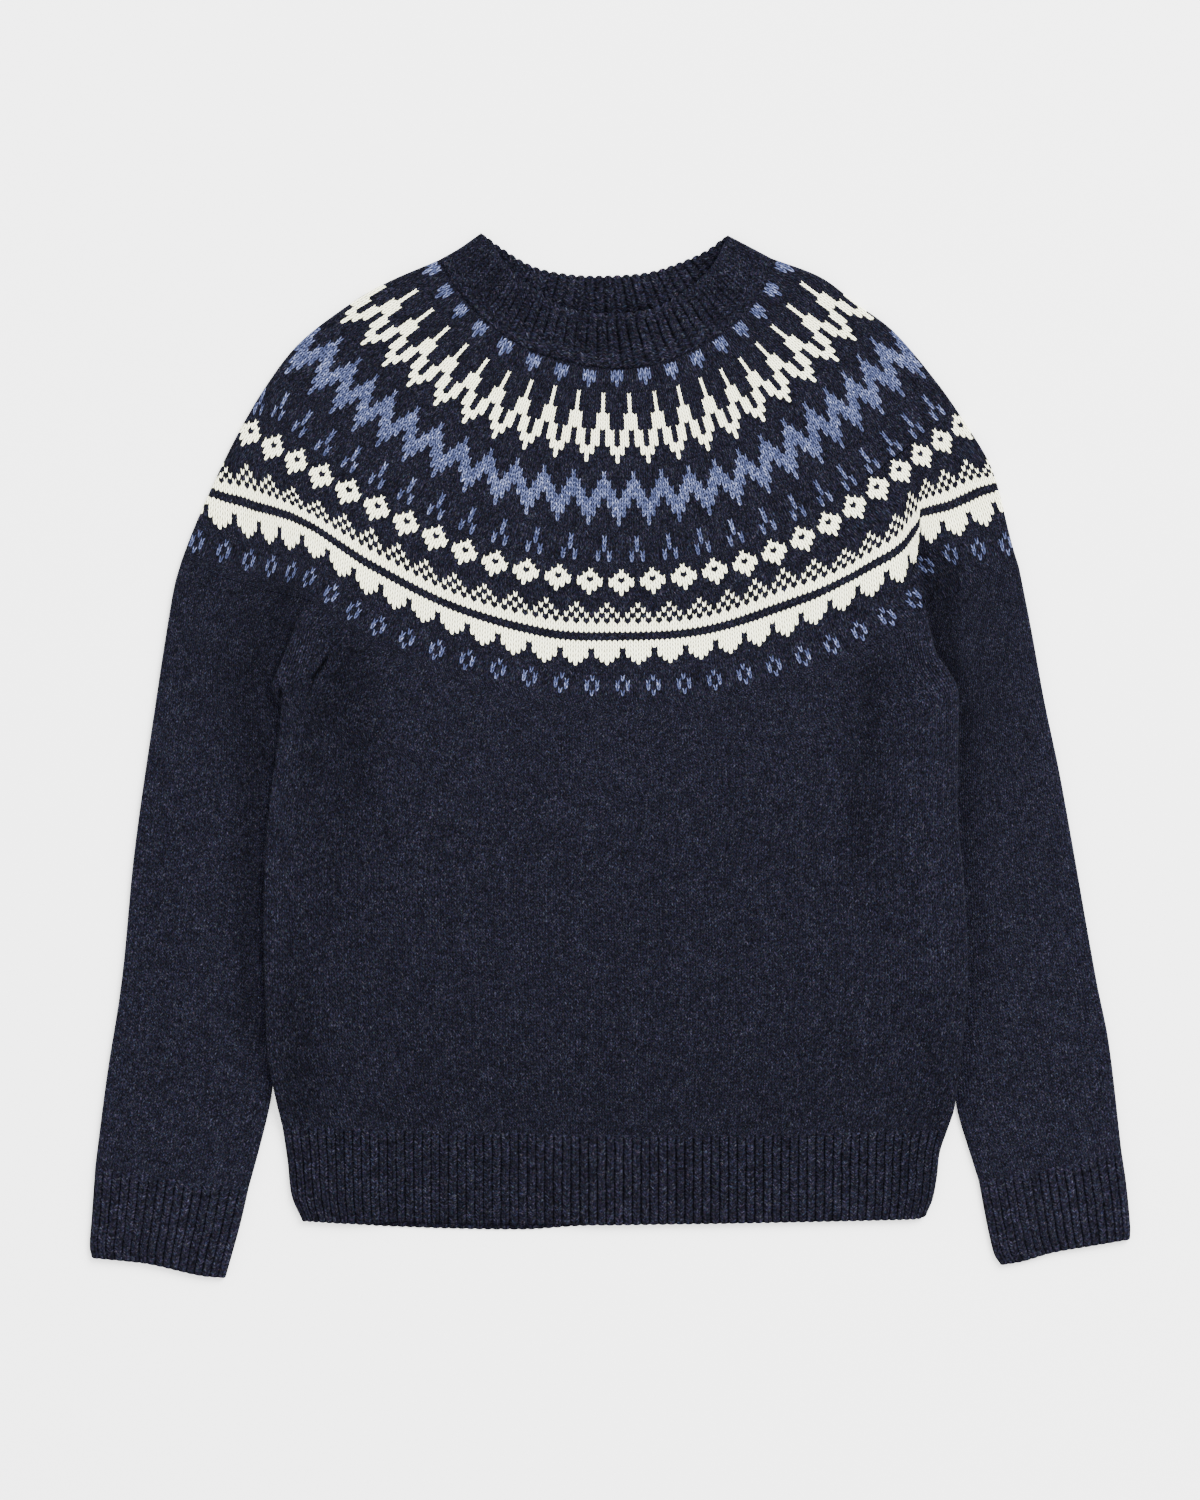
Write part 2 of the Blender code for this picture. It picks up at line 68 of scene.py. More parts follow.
# Gauge: stitches across and rows down of the plain knit
BODY_STITCHES = 126
BODY_ROWS = 128
SLEEVE_STITCHES = 28
SLEEVE_ROWS = 174
RIB_ROW = 2.415  # the height of a row in the rib
V_DROP = 0.58  # how far a stitch's middle lies below its sides, as a share of a row
TURN_INSIDE = 16.0  # how far a free edge's cloth is seen going in
NECK_RISE = 3.6  # how far the front neckband's free edge stands up
FRONT_NECK_SEEN = 42  # the front neckband's ribs, closer together by the shoulders
HEM_RIBS = 76
CUFF_RIBS = 17

# The pieces' edges, as points (x, y) along them
LEFT_NECK_FOLD = [(-91, 365.5), (-106, 355), (-120, 347)]
RIGHT_NECK_FOLD = [(82.5, 364), (96, 357), (113, 348)]
LEFT_YOKE_FOLD = [
    (-120, 347), (-158, 330.5), (-187, 313), (-219.5, 287), (-243.5, 255), (-263, 221), (-278, 190),
    (-292, 158), (-300, 137),
]
RIGHT_YOKE_FOLD = [
    (113, 348), (147, 335), (172, 316.5), (198, 297), (229, 260.5), (248, 233), (266.5, 201.5),
    (281, 148), (286, 131.5),
]
LEFT_SLEEVE_FOLD = [
    (-300, 137), (-305, 119.5), (-310, 91), (-318, 39), (-333, -66), (-342, -157), (-352.5, -225),
    (-360.5, -287),
]
RIGHT_SLEEVE_FOLD = [
    (286, 131.5), (294, 91), (303.5, 39), (315, -16), (340, -157), (348.5, -199.5), (357.5, -276),
]
LEFT_CUFF_FOLD = [(-360.5, -287), (-363, -323), (-364.4, -343), (-363, -350)]
RIGHT_CUFF_FOLD = [(357.5, -276), (361, -300), (363.8, -330), (363.5, -337)]
LEFT_CUFF_INNER = [(-253, -302), (-259, -328), (-269, -364)]
RIGHT_CUFF_INNER = [(257.5, -297), (264, -331), (268.5, -349), (272.5, -355)]
FRONT_NECK_EDGE = [
    (-91, 365.5), (-82, 354), (-67, 334.5), (-49.5, 322), (-32, 311.5), (-4, 307), (26.5, 310),
    (43.5, 317.5), (60, 329), (73, 344), (82.5, 364),
]
BACK_NECK_EDGE = [
    (-91, 365.5), (-79, 355.5), (-53.5, 340.5), (-28, 335), (-4, 334), (26.5, 336.5), (50, 344),
    (69, 353), (82.5, 364),
]
FRONT_NECK_SEAM = [
    (-120, 347), (-110, 329.5), (-87, 304), (-51.5, 282), (0, 271), (40, 276.5), (72.5, 292.5),
    (98, 314.5), (107.5, 329), (113, 348),
]
BACK_NECK_SEAM = [(-120, 347), (-87, 321), (-50, 303), (-2, 298), (45, 304), (80, 322), (113, 348)]
YOKE_EDGE_LEFT = [(-300, 137), (-256, 120.5), (-210, 109)]
YOKE_EDGE_FRONT = [
    (-209.2, 108.4), (-181, 85.5), (-142.5, 66), (-100, 49.5), (-55.5, 38), (0, 31), (55.5, 31.5),
    (93, 40), (134, 52.5), (172, 68.5), (206, 87), (220.4, 102.4),
]
YOKE_EDGE_RIGHT = [(221.2, 103), (251.5, 119.5), (286, 131.5)]
LEFT_BODY_SIDE = [
    (-209.2, 108.4), (-218.5, 98), (-224.5, 81), (-230, 67), (-236.5, 51), (-235.6, 42),
    (-231, 36.5), (-230.3, 31), (-233, 6), (-238, -30), (-241.5, -66), (-242.5, -120), (-240, -206),
    (-235, -235), (-229.5, -259),
]
RIGHT_BODY_SIDE = [
    (220.4, 102.4), (223.5, 88), (228, 71.5), (236, 60), (242, 50), (243.3, 39), (242.6, -39),
    (247, -89), (249.6, -157.5), (240.5, -245), (235.5, -261.5),
]
HEM_SEAM = [(-229.5, -259), (-110, -262.5), (0, -265), (110, -264.5), (235.5, -261.5)]
LEFT_HEM_SIDE = [(-229.5, -259), (-226, -283), (-223, -308), (-216, -324)]
RIGHT_HEM_SIDE = [(235.5, -261.5), (230.5, -277), (228.5, -294), (225.5, -310), (221.5, -319.5)]
HEM_EDGE = [
    (-216, -324), (-150, -328), (-63, -330), (-20, -327.5), (94, -325.5), (207, -323), (217, -322),
    (221.5, -319.5),
]
LEFT_SLEEVE_INNER = [
    (-207.5, 108), (-216.5, 97.5), (-222.5, 80.5), (-226, 66), (-226.5, 50), (-223.5, 30),
    (-222, -40), (-226, -100), (-230.5, -160), (-234, -205), (-236.4, -232), (-239, -248),
    (-245.5, -274.5), (-253, -302),
]
RIGHT_SLEEVE_INNER = [
    (218.5, 102), (221.5, 88), (225.4, 74), (227.5, 60), (228.5, 40), (227.5, -40), (231, -90),
    (235, -157), (238.5, -205), (241.3, -240), (244, -254), (251, -276.5), (257.5, -297),
]
LEFT_CUFF_SEAM = [(-360.5, -287), (-306, -296), (-253, -302)]
RIGHT_CUFF_SEAM = [(257.5, -297), (308, -288), (357.5, -276)]
LEFT_CUFF_EDGE = [(-363, -350), (-342, -352), (-322, -354.5), (-286.5, -362.5), (-269, -364)]
RIGHT_CUFF_EDGE = [(272.5, -355), (288, -352.5), (308.5, -346.5), (337, -341.5), (363.5, -337)]
# Where the sleeves hold the body up: the y at which it starts, is full, begins to end and ends.
LEFT_LIFT = (106, 72, -240, -280)
RIGHT_LIFT = (102, 72, -252, -292)

# Soft folds. Columns: the line's start x and y, its end x and y, its half width and its height.
FRONT_FOLDS = [
    (-186, 62, -168, -190, 16, -0.8),
    (184, 40, 186, -170, 16, -0.8),
    (-120, 20, -90, -230, 34, 0.5),
    (60, -20, 90, -240, 40, 0.5),
    (-10, 200, -20, 80, 60, 0.4),
    (-206, 150, -160, 95, 14, 0.7),
]
SLEEVE_FOLDS = [
    (-285, 90, -318, -250, 12, 0.6),
    (-262, 60, -290, -230, 9, -0.5),
    (284, 80, 312, -240, 12, 0.6),
    (256, 90, 272, -60, 10, -0.9),
]
# The crease where the front folds over the right sleeve, from top to bottom.
CREASE = [
    (220.5, 196), (219.3, 171), (217.1, 155), (215.3, 141), (216.7, 126), (219.3, 112.5),
    (220.4, 102.4),
]
CREASE_RISE = 1.6
CREASE_DIP = 2.3
DIP_WIDTH = 11.0

# The yoke's bands. Motifs repeat every 6 wales, with their middles on multiples of 6.
# Columns: the wale (a column of stitches, counted from the left) and its place, x and y.
DOTS = [
    (-1.4, -127.5, 344.5), (6, -117, 324), (18, -92.5, 298), (30, -54.5, 275), (42, -15, 264),
    (48, 4.5, 264), (60, 43, 269), (72, 78, 287), (84, 104.5, 310), (96.9, 123.5, 344.5),
]
CREAM_TOPS = [
    (6, -135, 326), (12, -124, 312.5), (18, -113, 300), (24, -100, 288), (36, -70.5, 269),
    (48, -38.5, 259), (60, -5, 254), (72, 30.5, 255), (84, 62.5, 264.5), (96, 90, 278.5),
    (108, 112.5, 301), (114, 123.5, 315.5), (120, 133, 331),
]
CREAM_TIPS = [
    (0.9, -193, 308.5), (15, -159, 273), (27, -123, 245.5), (39, -82, 222.5), (51, -39, 209.5),
    (63, 5, 205), (75, 48, 208), (87, 88.5, 222.5), (99, 125.5, 248), (111, 159, 276.5),
    (123.8, 184, 307.5),
]
BLUE_TOPS = [
    (6, -187.5, 292.5), (12, -174.5, 278), (24, -149.5, 255.5), (42, -100, 223), (60, -46, 203.5),
    (78, 16, 199), (96, 72, 207.5), (108, 104, 224.5), (120, 135, 247), (132, 162, 268.5),
    (144, 181.5, 292.5),
]
BLUE_TIPS = [
    (1.1, -231.5, 273), (9, -210.5, 254), (21, -180, 228), (33, -145, 207), (45, -102.5, 185.5),
    (57, -59, 170), (69, -15.5, 163), (81, 27, 162.5), (93, 69.5, 169.5), (105, 111, 185),
    (117, 148, 205.5), (129, 176, 228), (141, 204.5, 252.5), (148.2, 222, 268),
]
TREFOILS = [
    (-1.2, -247.5, 248.5), (6, -230, 245), (18, -198, 220), (36, -141, 186), (54, -76, 157),
    (72, -4.5, 145), (90, 63.5, 150.5), (108, 129, 174.5), (126, 180, 207), (147.8, 234, 252.5),
]
DIAMONDS = [
    (-2.1, -258, 229.5), (18, -202.5, 196), (36, -143, 163), (54, -81, 135), (72, -14.5, 122.5),
    (84, 29.5, 123), (102, 94, 135), (120, 153, 162.5), (138, 202.5, 199.5), (157.2, 248.5, 232.5),
]
CHECK_PEAKS = [
    (-0.6, -273.5, 203.5), (6, -254.5, 201.5), (18, -222, 185.5), (36, -167, 157),
    (54, -109, 125.5), (72, -45, 108.5), (84, -2.5, 105), (102, 62, 108.5), (120, 120.5, 129),
    (132, 163.5, 142.5), (138, 180.5, 154.3), (144, 198.5, 166.2), (150, 209, 182),
    (156, 220, 191.5), (162, 232.5, 197.8), (168, 248.6, 205), (174.2, 265.5, 204.5),
]
SCALLOP_TIPS = [
    (-4.5, -289, 164.5), (6, -253.5, 153.5), (18, -224.5, 145), (24, -207.5, 139.5),
    (36, -171, 114), (54, -111, 86), (72, -46.5, 66.5), (84, -2.5, 64.5), (102, 63.5, 68.5),
    (120, 124, 84.5), (138, 183, 112.5), (144, 204, 122.4), (150, 213.5, 136), (153, 216.8, 149),
    (156, 224.1, 149.8), (162, 244.2, 155), (172.2, 276, 166.5),
]
RINGS = [
    (-1.8, -294.5, 152.5), (12, -252.5, 138), (24, -223, 129.5), (30, -210.5, 125.5),
    (36, -195, 114), (48, -162, 91.5), (66, -100, 68), (84, -34.5, 52), (96, 8.5, 50),
    (114, 72.5, 54), (132, 134.5, 70.5), (150, 193, 98), (156, 212, 110), (162, 220, 134.5),
    (181.2, 280.5, 150),
]

# The charts. Columns: how many rows are alike, each one's height, and the yarns of wales
# 0, 1, 2 and 3 from a motif's middle (c cream, b blue, . navy).
DOT_CHART = [(2, 3.73, "bb.."), (1, 3.73, "b...")]
CREAM_CHART = [
    (5, 2.91, "c..."),
    (4, 2.91, "cc.."),
    (4, 2.91, ".cc."),
    (2, 2.91, "..cc"),
    (2, 2.91, "...c"),
]
BLUE_CHART = [
    (2, 3.16, "b..."),
    (2, 3.16, "bb.."),
    (2, 3.16, "bbb."),
    (2, 3.16, ".bbb"),
    (2, 3.16, "..bb"),
    (2, 3.16, "...b"),
]
TREFOIL_CHART = [(3, 3.5, "b..."), (2, 3.5, ".b..")]
DIAMOND_CHART = [
    (1, 3.03, "c..."),
    (1, 3.03, "cc.."),
    (1, 3.03, ".cc."),
    (1, 3.03, "ccc."),
    (1, 3.03, "cc.."),
    (1, 3.03, "c..."),
]
CHECK_CHART = [
    (1, 3.5, "c..."),
    (1, 3.6, ".c.."),
    (1, 3.8, "c.c."),
    (1, 3.9, ".c.c"),
    (2, 3.35, "cccc"),
    (2, 3.0, "...."),
    (2, 2.85, "cccc"),
    (2, 3.35, "ccc."),
    (1, 3.1, "cc.."),
    (1, 2.2, "c..."),
]
RING_CHART = [(1, 3.45, "b..."), (2, 3.45, ".b.."), (1, 3.45, "b...")]
SIDE_STRETCH = 0.14  # how much taller a band's rows lie at the folds than in the middle
LINE_LEVEL = 187.6  # the level of the checks' dark line
# How far that line lies above its even place. Columns: the wale and the rise.
LINE_RISES = [
    (-5, 4.7), (1.5, 1.1), (8, 0.3), (18, 4.0), (23, 2.6), (29, 1.0), (36, 0.0), (126, 0.0),
    (132, 1.6), (138, 0.7), (144, 1.6), (147, 0.0), (150, -1.2), (152.9, -6.0), (153.6, 2.5),
    (156, 2.2), (161, 0.6), (166, 1.0), (174, 4.3),
]
LAST_ROWS = 5  # plain rows below the rings
GAP_PARTS = (0.35, 0.65)  # where plain rows change from one band's wales to the next one's
FIRST_GAP_PART = 0.3
LEFT_UNDERARM_WALE = 31  # the rings' wales that lead to the underarms
RIGHT_UNDERARM_WALE = 157


def clamp(value):
    """The value, but at least 0 and at most 1."""
    return min(max(value, 0.0), 1.0)


def ease(value):
    """From 0 to 1 with no corners, as value goes from 0 to 1."""
    value = clamp(value)
    return value * value * (3 - 2 * value)


def mix(a, b, share):
    return a + (b - a) * share


def mix_places(a, b, share):
    return tuple(mix(p, q, share) for p, q in zip(a, b))


def hump(value, width):
    """A bell that is 1 at 0 and falls away over this width on both sides."""
    return math.exp(-((value / width) ** 2))


def section(marks, mark):
    """The number of the section between two marks that this mark lies in."""
    return min(max(bisect.bisect_right(marks, mark) - 1, 0), len(marks) - 2)


def lengths_along(points):
    """How far along their path each of the points lies."""
    lengths = [0.0]
    for first, second in zip(points, points[1:]):
        lengths.append(lengths[-1] + math.dist(first, second))
    return lengths


def through(marks, places):
    """A function of the mark along a smooth curve through the places, straight beyond its ends."""

    def slope(i):
        before = max(i - 1, 0)
        after = min(i + 1, len(marks) - 1)
        run = marks[after] - marks[before]
        return tuple((b - a) / run for a, b in zip(places[before], places[after]))

    slopes = [slope(i) for i in range(len(marks))]

    def at(mark):
        if mark < marks[0]:
            return tuple(p + s * (mark - marks[0]) for p, s in zip(places[0], slopes[0]))
        if mark > marks[-1]:
            return tuple(p + s * (mark - marks[-1]) for p, s in zip(places[-1], slopes[-1]))
        i = section(marks, mark)
        run = marks[i + 1] - marks[i]
        h = (mark - marks[i]) / run
        start = 2 * h**3 - 3 * h**2 + 1
        leave = (h**3 - 2 * h**2 + h) * run
        end = 3 * h**2 - 2 * h**3
        arrive = (h**3 - h**2) * run
        rows = zip(places[i], slopes[i], places[i + 1], slopes[i + 1])
        return tuple(start * a + leave * b + end * c + arrive * d for a, b, c, d in rows)

    return at


def smooth_curve(points):
    """A function of 0 to 1 along a smooth curve through the points."""
    reach = lengths_along(points)
    curve = through(reach, points)

    def at(share):
        return curve(clamp(share) * reach[-1])

    return at


def stations(table):
    """A function of the wale along a smooth curve through a table's stations."""
    return through([row[0] for row in table], [row[1:] for row in table])


def joins(*curves):
    """The share of the whole at which each curve of a joined one ends."""
    lengths = [math.dist(curve(0), curve(1)) for curve in curves]
    return [sum(lengths[: i + 1]) / sum(lengths) for i in range(len(curves))]


def joined(*curves):
    """One curve made of several, each with a share of 0 to 1 equal to its share of the length."""
    ends = joins(*curves)
    starts = [0.0] + ends[:-1]

    def at(share):
        for curve, start, end in zip(curves, starts, ends):
            if share <= end or end == ends[-1]:
                return curve((share - start) / (end - start))

    return at


def patch(top, bottom, left, right):
    """The plan between four edges, as a function of t (left to right) and s (top to bottom)."""

    def at(t, s):
        place = []
        for k in (0, 1):
            across = (1 - t) * left(s)[k] + t * right(s)[k]
            along = (1 - s) * top(t)[k] + s * bottom(t)[k]
            upper = (1 - t) * top(0)[k] + t * top(1)[k]
            lower = (1 - t) * bottom(0)[k] + t * bottom(1)[k]
            place.append(across + along - (1 - s) * upper - s * lower)
        return tuple(place)

    return at


def reading(table, y):
    """The x of a top-to-bottom table at this y, on straight lines between its points."""
    if y >= table[0][1]:
        return table[0][0]
    for (x0, y0), (x1, y1) in zip(table, table[1:]):
        if y >= y1:
            return x0 + (x1 - x0) * (y0 - y) / (y0 - y1)
    return table[-1][0]


def lift(x, y):
    """How far a sleeve's edge holds the cloth up here."""
    total = 0.0
    for table, heights, inwards in (
        (LEFT_SLEEVE_INNER, LEFT_LIFT, 1),
        (RIGHT_SLEEVE_INNER, RIGHT_LIFT, -1),
    ):
        start, full, end_full, end = heights
        down = ease((start - y) / (start - full)) * ease((y - end) / (end_full - end))
        past = inwards * (x - reading(table, y)) - LIFT_CLEAR
        total += LIFT * down * (1 - ease(past / LIFT_RAMP))
    return total


def soft_folds(folds, x, y, end_reach=None):
    """The height of the soft folds here. At its ends each fades over its half width or end_reach."""
    height = 0.0
    for x0, y0, x1, y1, half_width, rise in folds:
        length = math.hypot(x1 - x0, y1 - y0)
        along = ((x - x0) * (x1 - x0) + (y - y0) * (y1 - y0)) / length
        aside = ((x - x0) * (y1 - y0) - (y - y0) * (x1 - x0)) / length
        reach = end_reach or half_width
        fade = ease((along + reach) / (2 * reach)) * ease((length + reach - along) / (2 * reach))
        height += rise * fade * hump(aside, half_width)
    return height


def crease(x, y):
    """The step where the front lies over the right sleeve: up on its left, down on its right."""
    depth = ease((CREASE[0][1] - y) / 50)
    past = x - reading(CREASE, y)
    if y < CREASE[-1][1]:
        past = x - reading(RIGHT_BODY_SIDE, y)
    if past < 0:
        fade = ease((y - 60) / 40)
        return CREASE_RISE * depth * fade * hump(past, 9)
    return -CREASE_DIP * depth * hump(past, DIP_WIDTH)


def left_dip(x, y):
    """The left sleeve sinks beside the front's edge."""
    past = reading(LEFT_BODY_SIDE, y) - x
    if past < 0:
        return 0.0
    return -CREASE_DIP * ease((112 - y) / 30) * hump(past, DIP_WIDTH)


# Fine creases by the underarms, painted as dark lines of shade, with the folds' columns, and how dark
# they are as the height.
CREASE_END = 3  # how far a fine crease fades before and past its ends
SHORT_CREASE_SHADES = [
    (-189, 85, -197.5, 70, 1.6, 0.28),
    (-197.5, 70, -207.7, 54.6, 1.6, 0.85),
    (-207.7, 54.6, -210.9, 41.7, 1.5, 0.55),
    (-230.6, 48.5, -230.8, 38.5, 1.9, 1.0),
    (-229, 49, -208, 56, 1.2, 0.34),
    (-228, 45.5, -212, 50, 1.2, 0.28),
    (206.7, 82, 217, 65.4, 1.3, 0.24),
    (217, 65.4, 228.5, 57.7, 1.5, 0.45),
    (228.5, 57.7, 236.2, 48.7, 1.3, 0.24),
]
# Where the front is gathered by the underarms, so that its columns of stitches stand apart; painted shade
# marks the gaps between them.
GATHERS = [
    (-203, 101, -225, 56, 8, 1.0),
    (204, 86, 233, 44, 8, 1.0),
]

# Broad shades on the front, in the same way. A negative one is light.
FRONT_SHADES = [
    (-184, 72, -180, -30, 26, 0.13),
    (-184, 78, -199, 32, 10, 0.17),
    (-200, 40, -212, -15, 9, 0.22),
    (186, 70, 190, -8, 20, 0.14),
    (201, 64, 206, 42, 7, 0.12),
    (-192, -20, -196, -130, 20, 0.11),
    (184, -30, 182, -100, 14, 0.08),
    (-178, 84, -176, -30, 9, 0.10),
    (-213, -10, -212, -70, 10, 0.09),
    (-214, -125, -218, -185, 13, 0.15),
    (-219, -180, -216, -254, 11, 0.26),
    (181, 64, 172, -70, 11, 0.22),
    (186, 60, 206, 52, 8, 0.13),
    (201, -158, 204, -192, 9, 0.10),
    (216, 96, 226, -160, 20, -0.16),
    (-220, 86, -231, 48, 7, -0.15),
    (-230, 46, -235, -150, 7, -0.15),
]


def painted_recess_shade_right(x, y):
    """How much painted shade darkens the right sleeve where it sinks beside the front, 0 to 1."""
    edge = reading(CREASE, y) if y > CREASE[-1][1] else reading(RIGHT_BODY_SIDE, y)
    past = x - edge
    if past < 0:
        return 0.0
    # Painted shade in the pocket below the crease, and a long painted shade beside the front
    pocket = ease((153 - y) / 14) * ease((y - 34) / 30) * (1 - ease((x - 240) / 9))
    lower = 1 - 0.7 * ease((-30 - y) / 60)
    beside = ease((70 - y) / 40) * lower * hump(past, 18)
    return 0.37 * pocket + 0.35 * beside


def painted_recess_shade_left(x, y):
    """How much painted shade darkens the left sleeve where it sinks beside the front, 0 to 1."""
    past = reading(LEFT_BODY_SIDE, y) - x
    if past < -2 or y > 132:
        return 0.0
    # The long painted shade beside the front, which is wider and paler higher up
    upper = ease((y + 60) / 60)
    wide = (0.36 - 0.09 * ease((y - 10) / 30)) * hump(past - 12 - 3 * upper, 11 + 3 * upper)
    wide *= ease((132 - y) / 20) * ease((y + 235) / 60)
    if y > 108:
        wide *= ease((past + 2) / 8)
    else:
        # A painted light line close to the edge
        wide -= 0.26 * ease((60 - y) / 20) * hump(past - 1.5, 4)
    trough = 0.12 * ease((y + 30) / 60) * ease((128 - y) / 20)
    return wide + trough * hump(past - 34, 18)


def painted_shade_front(x, y):
    """The painted shade on the front's troughs, fine creases and recesses: how dark it is, 0 to 1."""
    # Painted light in the middle and on the yoke, and painted shade towards the hem
    dark = -0.08 * ease((y + 90) / 130) * ease((115 - y) / 50) * ease((x + 185) / 45)
    dark -= 0.05 * ease((y - 100) / 40)
    dark += 0.08 * ease((-140 - y) / 120)
    if y < 130:
        dark += soft_folds(FRONT_SHADES, x, y)
    if abs(x) > 180 and 20 < y < 105:
        dark += soft_folds(SHORT_CREASE_SHADES, x, y, CREASE_END)
    if x > 200 and y > CREASE[-1][1]:
        dark += painted_recess_shade_right(x, y)
    if x < -200 and y > 90:
        dark += painted_recess_shade_left(x, y)
    return dark


def gathered(x, y):
    """How strongly painted shade marks the front's columns of stitches apart here, 0 to 1."""
    if abs(x) < 180 or y < 20:
        return 0.0
    return soft_folds(GATHERS, x, y)


def painted_shade_sleeve(x, y):
    """The painted shade on a sleeve beside the front, which stands higher, and painted light by its fold.
    """
    if x > 0:
        rim = reading(RIGHT_SLEEVE_FOLD, y) - x
        light = 0.08 * ease((128 - y) / 40) + 0.03 * ease((60 - y) / 60)
        return painted_recess_shade_right(x, y) - light - 0.12 * hump(rim, 10)
    rim = x - reading(LEFT_SLEEVE_FOLD, y)
    light = 0.05 * ease((128 - y) / 40) + 0.03 * ease((60 - y) / 60)
    return painted_recess_shade_left(x, y) - light - 0.12 * hump(rim, 8)


CUFF_LIGHT = -0.09  # the cuffs are a little paler


def nothing(x, y):
    return 0.0


def front_relief(x, y):
    return soft_folds(FRONT_FOLDS, x, y) + crease(x, y) + left_dip(x, y)


def sleeve_relief(x, y):
    return soft_folds(SLEEVE_FOLDS, x, y) + crease(x, y) + left_dip(x, y)


# Yarns, as the colour that the knit material reads: red for cream and green for blue.
YARNS = {".": (0.0, 0.0, 0.0, 1.0), "c": (1.0, 0.0, 0.0, 1.0), "b": (0.0, 1.0, 0.0, 1.0)}


def put_in_scene(name, data):
    """A new object that shows this mesh, lamp or camera."""
    thing = bpy.data.objects.new(name, data)
    bpy.context.scene.collection.objects.link(thing)
    return thing


class Cloth:
    """Collects points, faces, knit coordinates and yarns, and makes a mesh of them.

    Each point knows how much painted shade darkens its colour (painted light where negative), and how
    dark the painted shade in the valleys between ribs or columns of stitches is there. Each face
    knows whether another yarn lies beside, above and below its leg.
    """

    def __init__(self):
        self.points = []
        self.painted_shades = []
        self.valleys = []
        self.faces = []
        self.coordinates = []
        self.yarns = []
        self.edges = []

    def point(self, x, y, z, painted_shade=0.0, valley=0.0):
        self.points.append((x * MILLIMETRE, y * MILLIMETRE, z * MILLIMETRE))
        self.painted_shades.append(painted_shade)
        self.valleys.append(valley)
        return len(self.points) - 1

    def face(self, corners, yarn=".", edges=(0.0, 0.0, 0.0)):
        """A face from corners of (point, u, v), left out where corners coincide."""
        if len({corner[0] for corner in corners}) < 3:
            return
        self.faces.append([corner[0] for corner in corners])
        self.coordinates.append([(corner[1], corner[2]) for corner in corners])
        self.yarns.append(YARNS[yarn])
        self.edges.append((*edges, 1.0))

    def grid(self, rows, flip=False):
        """Quads over rows of (point, u, v)."""
        for upper, lower in zip(rows, rows[1:]):
            for i in range(len(upper) - 1):
                corners = [upper[i], lower[i], lower[i + 1], upper[i + 1]]
                if flip:
                    corners.reverse()
                self.face(corners)

    def make(self, name, material, patterned=False):
        mesh = bpy.data.meshes.new(name)
        mesh.from_pydata(self.points, [], self.faces)
        knit = mesh.uv_layers.new(name="knit")
        knit.data.foreach_set("uv", [c for face in self.coordinates for uv in face for c in uv])
        for label, values in (("painted_shade", self.painted_shades), ("valley", self.valleys)):
            attribute = mesh.attributes.new(label, "FLOAT", "POINT")
            attribute.data.foreach_set("value", values)
        if patterned:
            for label, colours in (("yarn", self.yarns), ("edges", self.edges)):
                attribute = mesh.color_attributes.new(label, "FLOAT_COLOR", "CORNER")
                values = []
                for face, colour in zip(self.faces, colours):
                    values += list(colour) * len(face)
                attribute.data.foreach_set("color", values)
        mesh.shade_smooth()
        mesh.materials.append(material)
        return put_in_scene(name, mesh)


class Value:
    """A number that varies over a surface."""

    def __init__(self, graph, socket):
        self.graph = graph
        self.socket = socket

    def __add__(self, other):
        return self.graph.math("ADD", self, other)

    def __sub__(self, other):
        return self.graph.math("SUBTRACT", self, other)

    def __rsub__(self, other):
        return self.graph.math("SUBTRACT", other, self)

    def __mul__(self, other):
        return self.graph.math("MULTIPLY", self, other)

    def __pow__(self, power):
        return self.graph.math("POWER", self, power)

    def __abs__(self):
        return self.graph.math("ABSOLUTE", self)


